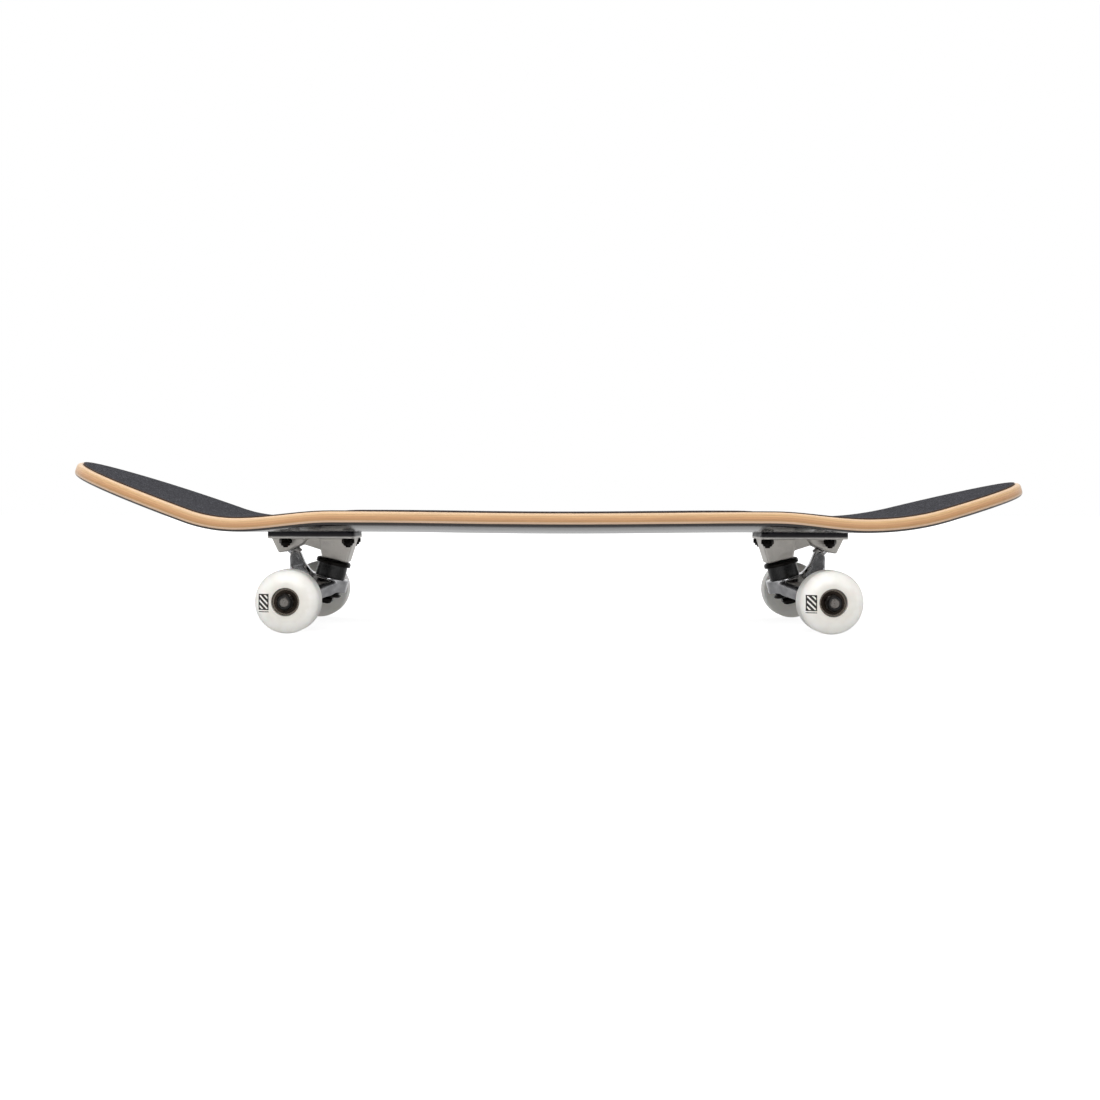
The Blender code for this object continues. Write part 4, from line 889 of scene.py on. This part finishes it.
bolt = flat_bolt()
bolt_nut = lock_nut("bolt_nut_pattern", 9.5, 6.0, 2.5)
bolt_nut_ring = nylon_ring("bolt_nut_ring_pattern", 6.0, 2.5)
UPSIDE_DOWN = Matrix.Rotation(math.pi, 4, "X")
for key, place in BOLTS.items():
    bolt_place = Matrix.Translation((place.x, place.y, BOLT_TOP))
    fitted(bolt, f"{key}_socket_bolt", bolt_place, "board", "black_steel", f"{key}_bolt")
    nut_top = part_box(f"{key}_nut")[1].z
    nut_place = Matrix.Translation((place.x, place.y, nut_top)) @ UPSIDE_DOWN
    nut_place = nut_place @ Matrix.Rotation(math.pi / 6, 4, "Z")
    fitted(bolt_nut, f"{key}_lock_nut", nut_place, "board", "black_steel", f"{key}_nut")
    fitted(bolt_nut_ring, f"{key}_lock_ring", nut_place, "board", "nylon")
put_away(bolt, bolt_nut, bolt_nut_ring)
print("bolts:", len(BOLTS))

# %% [markdown]
# ## Baseplate
# The baseplate is one casting: a flange with four bolt holes, a housing that holds the kingpin's head, a
# foot with the socket for the pivot, and a web between them. Castings have no sharp inside corners, so
# the rough shapes are joined, remeshed as one skin and smoothed, which melts them together. The machined
# faces and holes are cut last, and so stay crisp.

# %% Cast skin


def melted(piece, voxel, passes):
    """Remeshes a rough shape as one skin and relaxes it, as a casting's corners fill."""
    applied(piece, "REMESH", mode="VOXEL", voxel_size=voxel * MM, adaptivity=0.0)
    applied(piece, "SMOOTH", factor=0.5, iterations=passes)
    return piece


def joined(first, *others):
    only(first)
    for other in others:
        other.select_set(True)
    bpy.ops.object.join()
    return first


PLATE_THICKNESS, PLATE_SHIFT, PLATE_LENGTH, PLATE_WIDTH = 5.7, -4.5, 74.8, 56.0
PLATE_IN = PLATE_SHIFT + PLATE_LENGTH / 2
FOOT_DEPTH = 18.6


def on_face(along):
    """A point of the housing's lower face in the truck's side view, inboard of the kingpin's axis."""
    point = KINGPIN @ Vector((along * MM, 0, 0))
    return point.x / MM, point.z / MM


BOLT_LEAD, BOLT_SIDE = 27.0, 20.65  # the four holes, from the middle of their pattern


def on_pattern(name, radius, low, high):
    """Four round bars, one at each bolt hole."""
    places = [(lead, side) for lead in (-BOLT_LEAD, BOLT_LEAD) for side in (-BOLT_SIDE, BOLT_SIDE)]
    return [
        placed(bar(name, radius, low, high, 32), Matrix.Translation((lead * MM, side * MM, 0)))
        for lead, side in places
    ]


def flange():
    bpy.ops.object.select_all(action="DESELECT")
    bpy.ops.mesh.primitive_cube_add(
        size=1,
        location=(PLATE_SHIFT * MM, 0, -PLATE_THICKNESS / 2 * MM),
        scale=(PLATE_LENGTH * MM, PLATE_WIDTH * MM, PLATE_THICKNESS * MM),
    )
    plate = bpy.context.object
    plate.name = plate.data.name = "baseplate_pattern"
    bpy.ops.object.transform_apply(location=True, rotation=True, scale=True)
    bpy.ops.object.mode_set(mode="EDIT")
    bpy.ops.mesh.select_mode(type="EDGE")
    bpy.ops.mesh.select_all(action="DESELECT")
    bpy.ops.object.mode_set(mode="OBJECT")
    for edge in plate.data.edges:
        ends = [plate.data.vertices[v].co for v in edge.vertices]
        edge.select = abs(ends[0].z - ends[1].z) > 1 * MM
    bpy.ops.object.mode_set(mode="EDIT")
    bpy.ops.mesh.bevel(offset=5 * MM, segments=8)
    bpy.ops.mesh.select_mode(type="VERT")
    return tidy(plate)


def baseplate():
    housing_out, housing_in = on_face(-9.5), on_face(13)
    inside_plate = -PLATE_THICKNESS / 2
    housing = sawn(
        "housing",
        [
            (housing_out[0] - 2, inside_plate), (PLATE_IN - 1.5, inside_plate),
            (PLATE_IN - 1.5, -PLATE_THICKNESS - 0.3), housing_in, housing_out,
            (housing_out[0] - 1.2, housing_out[1] + 8),
        ],
        28.4, 26.0,
    )
    rounded(housing, 1.2 * MM, 2, 40)
    pivot_x = pivot_place.x / MM
    foot_in = pivot_x + 13
    foot = sawn(
        "foot",
        [
            (pivot_x - 13.5, inside_plate), (foot_in + 4, inside_plate), (foot_in + 4, -PLATE_THICKNESS - 1),
            (foot_in, -FOOT_DEPTH * 0.61), (pivot_x + 1, -FOOT_DEPTH + 1.5), (pivot_x - 7.5, -FOOT_DEPTH),
            (pivot_x - 13.5, -PLATE_THICKNESS),
        ],
        23, 21,
    )
    rounded(foot, 1.2 * MM, 2, 40)
    web = sawn(
        "web",
        [
            (foot_in - 4, inside_plate), (foot_in - 4, -FOOT_DEPTH * 0.64), (foot_in + 1, -FOOT_DEPTH * 0.62),
            (housing_out[0] - 3, housing_out[1] + 6), (housing_out[0] + 3, housing_out[1] + 2),
            (housing_out[0] + 3, inside_plate),
        ],
        8,
    )
    bosses = on_pattern("boss", 6.4, -PLATE_THICKNESS - 0.2, inside_plate)
    plate = melted(joined(flange(), housing, foot, web, *bosses), 0.5, 3)
    tools = [bar("above", 100, -0.05, 20, 4), *on_pattern("hole", 2.7, -20, 20)]
    tools.append(placed(bar("kingpin_bore", 5.06, -12, 40), KINGPIN))
    tools.append(placed(bar("head_pocket", 8.86, 13.2, 40), KINGPIN))
    tools.append(placed(bar("seat_face", 12.6, -5, 0.02), KINGPIN))
    tools.append(placed(bar("socket", 6.9, -30, 6.9), PIVOT))
    cut(plate, "DIFFERENCE", *tools)
    return finished(plate, CAST, 32)


plate_pattern = baseplate()
for end in ENDS:
    fitted(plate_pattern, f"{end}_cast_baseplate", TRUCKS[end], "board", "cast_aluminium", f"{end}_baseplate")
put_away(plate_pattern)

# %% [markdown]
# ## Kingpin, bushings and washers
# The kingpin is a bolt that hangs from the housing. On it sit, from the top: a cup washer, a tall
# bushing, the hanger's ring, a short bushing, a second cup washer and a lock nut. Each is turned about
# the kingpin's own axis. The bushings bulge a little between their washers, as squeezed rubber does.

# %% Pieces on the kingpin
BOARDSIDE_CUP = -0.3  # levels along the kingpin, in millimetres below the housing's face
BOARDSIDE_BUSHING = (-17.6, -2.1)
RING = (-26.9, -15.4)
ROADSIDE_BUSHING = (-30.7, -24.2)
ROADSIDE_CUP = -31.0
KINGPIN_NUT = -32.8


def cup_washer(name, bushing_radius, lip):
    """A pressed cup with its plate's upper face at 0 and its lip up round the bushing."""
    inner, outer = 5.06, bushing_radius + 0.3 + 1.8
    cup = turned(
        name,
        [
            (inner, 0), (bushing_radius - 1.0, 0), (bushing_radius + 0.25, 0.4), (bushing_radius + 0.3, lip),
            (outer, lip), (outer, 0.2), (outer - 0.7, -0.9), (outer - 2.0, -1.5), (inner, -1.5),
        ],
        64, ring=True,
    )
    rounded(cup, 0.22 * MM, 2, 30)
    return finished(cup, BLACK_OXIDE)


def bushing(name, top_radius, foot_radius, height):
    """A cast bushing from z 0 down, with round rims and a slight belly."""
    profile = [(5.06, 0), (top_radius - 1.2, 0), (top_radius - 0.35, -0.3), (top_radius, -1.2)]
    for step in range(1, 8):
        share = step / 8
        bulge = 0.35 * math.sin(math.pi * share)
        radius = top_radius + (foot_radius - top_radius) * share - 0.35 + bulge
        profile.append((radius, -1.2 - (height - 2.4) * share))
    profile += [
        (foot_radius, -height + 1.2), (foot_radius - 0.35, -height + 0.3), (foot_radius - 1.2, -height),
        (5.06, -height),
    ]
    piece = turned(name, profile, 64, ring=True)
    return finished(piece, BLACK_URETHANE, 50)


def kingpin():
    head = bar("kingpin_pattern", 14.3 / 2 / math.cos(math.pi / 6), 13.5, 19.0, 6)
    crown = turned("crown", [(0, 19), (6.6, 19), (8.3, 18), (8.3, 13), (0, 13)], 48)
    cut(head, "INTERSECT", crown)
    rounded(head, 0.15 * MM, 2, 30)
    thread = threaded(4.76, -39.3, -30.0, 1.0, 0.45)
    shank = turned("shank", [(0, 14.5), (4.76, 14.5), (4.76, -30.0), *thread, (0, -39.3)], 40)
    cut(head, "UNION", shank)
    return finished(head, BLACK_OXIDE, 30)


def at(height):
    return Matrix.Translation((0, 0, height * MM))


patterns = {
    "kingpin_bolt": (kingpin(), Matrix.Identity(4), "black_steel", "kingpin"),
    "boardside_cup": (
        cup_washer("cup_a", 13.0, 2.8), at(BOARDSIDE_CUP - 1.5) @ UPSIDE_DOWN, "black_steel", "boardside_washer"
    ),
    "boardside_rubber": (
        bushing("bushing_a", 13.0, 13.0, 15.5), at(BOARDSIDE_BUSHING[1]), "black_urethane", "boardside_bushing"
    ),
    "roadside_rubber": (
        bushing("bushing_b", 12.7, 11.2, 6.5), at(ROADSIDE_BUSHING[1]), "black_urethane", "roadside_bushing"
    ),
    "roadside_cup": (cup_washer("cup_b", 11.2, 1.0), at(ROADSIDE_CUP), "black_steel", "roadside_washer"),
    "kingpin_lock_nut": (
        lock_nut("nut_a", 14.3, 6.0, 4.9), at(KINGPIN_NUT) @ UPSIDE_DOWN, "black_steel", "kingpin_nut"
    ),
    "kingpin_lock_ring": (nylon_ring("ring_a", 6.0, 4.9), at(KINGPIN_NUT) @ UPSIDE_DOWN, "nylon", None),
}
for end in ENDS:
    for name, (pattern, place, slot, node) in patterns.items():
        nodes = [f"{end}_{node}"] if node else []
        fitted(pattern, f"{end}_{name}", TRUCKS[end] @ KINGPIN @ place, "board", slot, *nodes)
put_away(*(pattern for pattern, *_ in patterns.values()))
print("kingpin stacks:", len(patterns), "pieces each")

# %% [markdown]
# ### Pivot cup
# The hanger's nose turns in a small nylon thimble, pushed into the baseplate's foot.

# %% Pivot cup


def pivot_cup():
    turns = [math.pi / 2 * step / 8 for step in range(9)]
    hollow = [(5.3 * math.sin(turn), 5.3 * math.cos(turn)) for turn in reversed(turns)]
    shell = [(0, 6.6), (5.6, 6.6), (6.3, 6.2), (6.6, 5.5), (6.6, -1.2), (6.3, -2.0), (5.6, -2.0)]
    cup = turned("pivot_cup_pattern", [*shell, *hollow], 48)
    return finished(cup, NYLON)


cup_pattern = pivot_cup()
for end in ENDS:
    fitted(cup_pattern, f"{end}_pivot_thimble", TRUCKS[end] @ PIVOT, "board", "nylon", f"{end}_pivot_cup")
put_away(cup_pattern)

# %% [markdown]
# ## Hanger
# The hanger is the moving half of a truck: a beam round the axle, a ring that the bushings squeeze, wings
# that join the two, and an arm that ends in the pivot's round nose. It is cast and then polished, so the
# same melting makes it, with more smoothing. The bushing seats, the bore and the two end faces are
# machined afterwards.

# %% Hanger


def hanger():
    half = [
        (8.5, 69.75), (8.5, 66.0), (7.9, 63.6), (7.6, 60.5), (7.6, 50.0), (8.6, 38.0), (10.0, 24.0), (11.0, 13.0)
    ]
    other_half = [(radius, -height) for radius, height in reversed(half)]
    beam = turned("hanger_pattern", [(0, 69.75), *half, *other_half, (0, -69.75)], 64)
    placed(beam, ALONG_AXLE)
    ring = placed(bar("ring", 16.75, *RING, 64), KINGPIN)
    disc = placed(bar("disc", 15.75, RING[0] + 1.5, RING[1] - 1.5, 48), KINGPIN)
    ends = [placed(bar("wing_end", 7.0, side * 38 - 1, side * 38 + 1, 32), ALONG_AXLE) for side in (-1, 1)]
    wings = joined(disc, *ends)
    bpy.ops.object.mode_set(mode="EDIT")
    bpy.ops.mesh.select_all(action="SELECT")
    bpy.ops.mesh.convex_hull()
    tidy(wings)
    ax, az = AXLE.x / MM, AXLE.z / MM
    neck = (PIVOT @ Vector((0, 0, -9.0 * MM))) / MM
    ring_side = KINGPIN @ (Vector((-12.75, 0, RING[1] - 1)) * MM) / MM
    arm = sawn(
        "arm",
        [
            (ax - 11.0, az + 10.0), (ax - 14.2, az + 24.0), (ax - 14.4, az + 33.0),
            (neck.x - 3.4, neck.z + 3.6), (neck.x + 3.4, neck.z + 1.5), (ax - 0.5, az + 27.5),
            (ax + 4.0, az + 21.5), (ring_side.x, ring_side.z), (ax + 14, az - 2), (ax - 6, az - 2),
        ],
        10.6, 16,
    )
    rounded(arm, 2.6 * MM, 3, 30)
    turns = [math.pi / 2 * step / 10 for step in range(11)]
    nose_profile = [(5 * math.sin(turn), 5 * math.cos(turn)) for turn in turns] + [(5, -11), (0, -11)]
    nose = placed(turned("nose", nose_profile, 48), PIVOT)
    body = melted(joined(beam, ring, wings, arm), 0.6, 8)
    cut(body, "UNION", nose)
    tools = [
        placed(bar("hole", 7.0, RING[0] - 10, 0), KINGPIN),
        placed(bar("boardside_seat", 13.3, RING[1] - 2.5, RING[1] + 12, 64), KINGPIN),
        placed(bar("roadside_seat", 13.3, RING[0] - 12, RING[0] + 3.0, 64), KINGPIN),
        placed(bar("washer_room", 16.2, RING[0] - 30, RING[0] + 0.3, 64), KINGPIN),
        placed(bar("bore", 4.27, -80, 80), ALONG_AXLE),
        placed(bar("end_face", 20, 69.7, 90), ALONG_AXLE),
        placed(bar("end_face", 20, -90, -69.7), ALONG_AXLE),
    ]
    cut(body, "DIFFERENCE", *tools)
    smooth(body, 32)
    body.data.materials.append(POLISHED)
    return body


hanger_pattern = hanger()
for end in ENDS:
    body, node = f"{end}_hanger_assembly", f"{end}_hanger"
    fitted(hanger_pattern, f"{end}_polished_hanger", TRUCKS[end], body, "polished_aluminium", node)
put_away(hanger_pattern)

# %% [markdown]
# ## Axle
# One steel rod runs through the hanger. Its ends are threaded for the nuts, and the last millimetre is
# chamfered.

# %% Axle


def axle():
    half = 104.8
    end_thread = threaded(3.97, 92.0, half - 0.7, 1.06, 0.4)
    profile = [(0, half), (3.2, half), *end_thread, (3.97, 91.5)]
    rod = turned("axle_pattern", [*profile, *((radius, -height) for radius, height in reversed(profile))], 40)
    return finished(rod, ZINC, 30)


axle_pattern = axle()
for end in ENDS:
    body, node = f"{end}_hanger_assembly", f"{end}_axle"
    fitted(axle_pattern, f"{end}_threaded_axle", TRUCKS[end] @ ALONG_AXLE, body, "steel", node)
put_away(axle_pattern)

# %% [markdown]
# ## Wheels
# A wheel is cast urethane with two ball bearings pressed into its core. Its outer face is flat round the
# bearing and then falls away in a curve to the tread. It is turned from one profile. Each bearing is a
# ring with its races and shield as steps of one profile, and the faces of the shield get the darker
# finish.

# %% Wheel


def wheel():
    face, bore, rib = WHEEL_WIDTH / 2, 11.3, 9.3
    lip = [(bore, 5.15), (bore, face - 0.3), (bore + 0.35, face), (14.2, face)]
    for step in range(1, 15):
        share = step / 14
        drop = (1 - share**1.5) ** 0.65
        lip.append((14.5 + 11.35 * share, 8.4 + (face - 8.4) * drop))
    lip += [(25.97, 7.9), (26.0, 7.3)]
    profile = [*lip, *((radius, -height) for radius, height in reversed(lip)), (rib, -5.15), (rib, 5.15)]
    piece = turned("wheel_pattern", profile, 128, ring=True)
    return finished(piece, WHITE_URETHANE, 30)


def bearing():
    half = 3.5
    face = [
        (4.27, half), (6.1, half), (6.25, half - 0.15), (6.25, half - 0.55), (6.6, half - 0.4), (9.2, half - 0.4),
        (9.35, half - 0.6), (9.5, half - 0.4), (9.5, half - 0.12), (9.62, half), (10.75, half), (11.0, half - 0.25),
    ]
    other_face = [(radius, -height) for radius, height in reversed(face)]
    piece = turned("bearing_pattern", [*face, *other_face], 96, ring=True)
    smooth(piece, 30)
    piece.data.materials.append(RACE)
    piece.data.materials.append(SHIELD)
    for polygon in piece.data.polygons:
        radius = Vector(polygon.center[:2]).length / MM
        polygon.material_index = 1 if 6.3 < radius < 9.4 else 0
    return remember(piece)


def washer():
    piece = turned("washer_pattern", [(4.27, 0), (4.27, 1), (6.4, 1), (6.4, 0)], 48, ring=True)
    rounded(piece, 0.18 * MM, 2, 30)
    return finished(piece, ZINC)


wheel_pieces = {
    "urethane_tyre": (wheel(), "white_urethane", "wheel", 83.5),
    "inner_race": (bearing(), "steel", "inner_bearing", 74.85),
    "outer_race": (bearing(), "steel", "outer_bearing", 92.15),
    "inner_spacer": (washer(), "steel", None, 70.05),
    "outer_spacer": (washer(), "steel", "speed_washer", 95.95),
    "hex_nut": (lock_nut("nut_b", 12.7, 6.5, 4.1), "black_steel", "axle_nut", 97.25),
    "hex_nut_ring": (nylon_ring("ring_b", 6.5, 4.1), "nylon", None, 97.25),
}
for end in ENDS:
    for side, sign in SIDES.items():
        hub = Matrix.Translation(middle(f"{end}_{side}_wheel")) @ Matrix.Rotation(math.pi / 2, 4, "X")
        if sign > 0:
            hub = hub @ Matrix.Rotation(math.pi, 4, "Y")
        for name, (pattern, slot, node, station) in wheel_pieces.items():
            nodes = [f"{end}_{side}_{node}"] if node else []
            body = f"{end}_{side}_wheel_assembly"
            fitted(pattern, f"{end}_{side}_{name}", hub @ at(station - 83.5), body, slot, *nodes)
put_away(*(pattern for pattern, *_ in wheel_pieces.values()))
print("wheel stations:", {name: row[3] for name, row in wheel_pieces.items()})

# %% [markdown]
# ## Stage
# The board stands on a plain pale floor, with one large lamp above it and one above the camera, as for a
# catalogue. The floor and the sky look whiter to the camera than the light they throw, so that metal and
# lacquer have something darker to mirror. The camera stands level beside the board.

# %% Floor


def stage_floor():
    bpy.ops.object.select_all(action="DESELECT")
    bpy.ops.mesh.primitive_plane_add(size=24, location=(0, 0, -0.05 * MM))
    floor = bpy.context.object
    floor.name = floor.data.name = "pale_floor"
    finish = new_finish(
        "matt_white_floor", Roughness=0.9, Base_Color=linear("#b4b4b4"), Emission_Color=linear("#ffffff")
    )
    seen = add(finish, "LightPath").outputs["Is Camera Ray"]
    glow = add(finish, "MapRange", {"Value": seen}, To_Min=0.2, To_Max=0.85)
    feed(finish, Emission_Strength=glow.outputs[0])
    floor.data.materials.append(finish)


stage_floor()

# %% Light


def soft_lamp(name, place, aim, size, power):
    lamp = bpy.data.lights.new(name, "AREA")
    lamp.shape = "RECTANGLE"
    lamp.size, lamp.size_y = size
    lamp.energy = power
    obj = bpy.data.objects.new(name, lamp)
    bpy.context.scene.collection.objects.link(obj)
    obj.location = place
    obj.rotation_euler = (Vector(aim) - Vector(place)).to_track_quat("-Z", "Y").to_euler()


def sky():
    """A white dome that is brightest overhead and dimmer behind the camera, where the studio is dark."""
    world = bpy.data.worlds.new("studio_dome")
    bpy.context.scene.world = world
    world.use_nodes = True
    towards = add(world, "TexCoord").outputs["Generated"]
    parts = add(world, "SeparateXYZ", {0: towards})
    depth = {"Value": parts.outputs["Y"]}
    back = add(world, "MapRange", depth, From_Min=-0.6, From_Max=0.5, To_Min=0.1, To_Max=0.95)
    height = {"Value": parts.outputs["Z"]}
    above = add(world, "MapRange", height, From_Min=0.15, From_Max=0.6, To_Min=0.0, To_Max=1.0)
    dome = add(world, "Math", {0: back.outputs[0], 1: above.outputs[0]}, operation="MAXIMUM")
    seen = add(world, "LightPath").outputs["Is Camera Ray"]
    shown = add(world, "Math", {0: dome.outputs[0], 1: seen}, operation="MAXIMUM")
    world.node_tree.links.new(shown.outputs[0], world.node_tree.nodes["Background"].inputs["Strength"])
    world.node_tree.nodes["Background"].inputs["Color"].default_value = (1, 1, 1, 1)


sky()
soft_lamp("overhead", (-0.2, -0.5, 1.9), (0, 0, 0.05), (1.8, 1.2), 16)
soft_lamp("front", (-0.3, -2.0, 1.5), (0, 0, 0.08), (1.4, 0.7), 22)
bpy.context.scene.view_settings.view_transform = "Standard"

# %% Camera
camera_data = bpy.data.cameras.new("camera")
camera_data.sensor_width = 36
camera_data.lens = 43.38
camera_data.shift_x = 0.0139
camera_data.shift_y = -0.0396
camera = bpy.data.objects.new("camera", camera_data)
bpy.context.scene.collection.objects.link(camera)
camera.location = (-0.01267, -1.1646, 0.10334)
camera.rotation_euler = (math.radians(90), math.radians(-0.1175), 0)
bpy.context.scene.camera = camera
print("camera at", [round(value, 3) for value in camera.location])
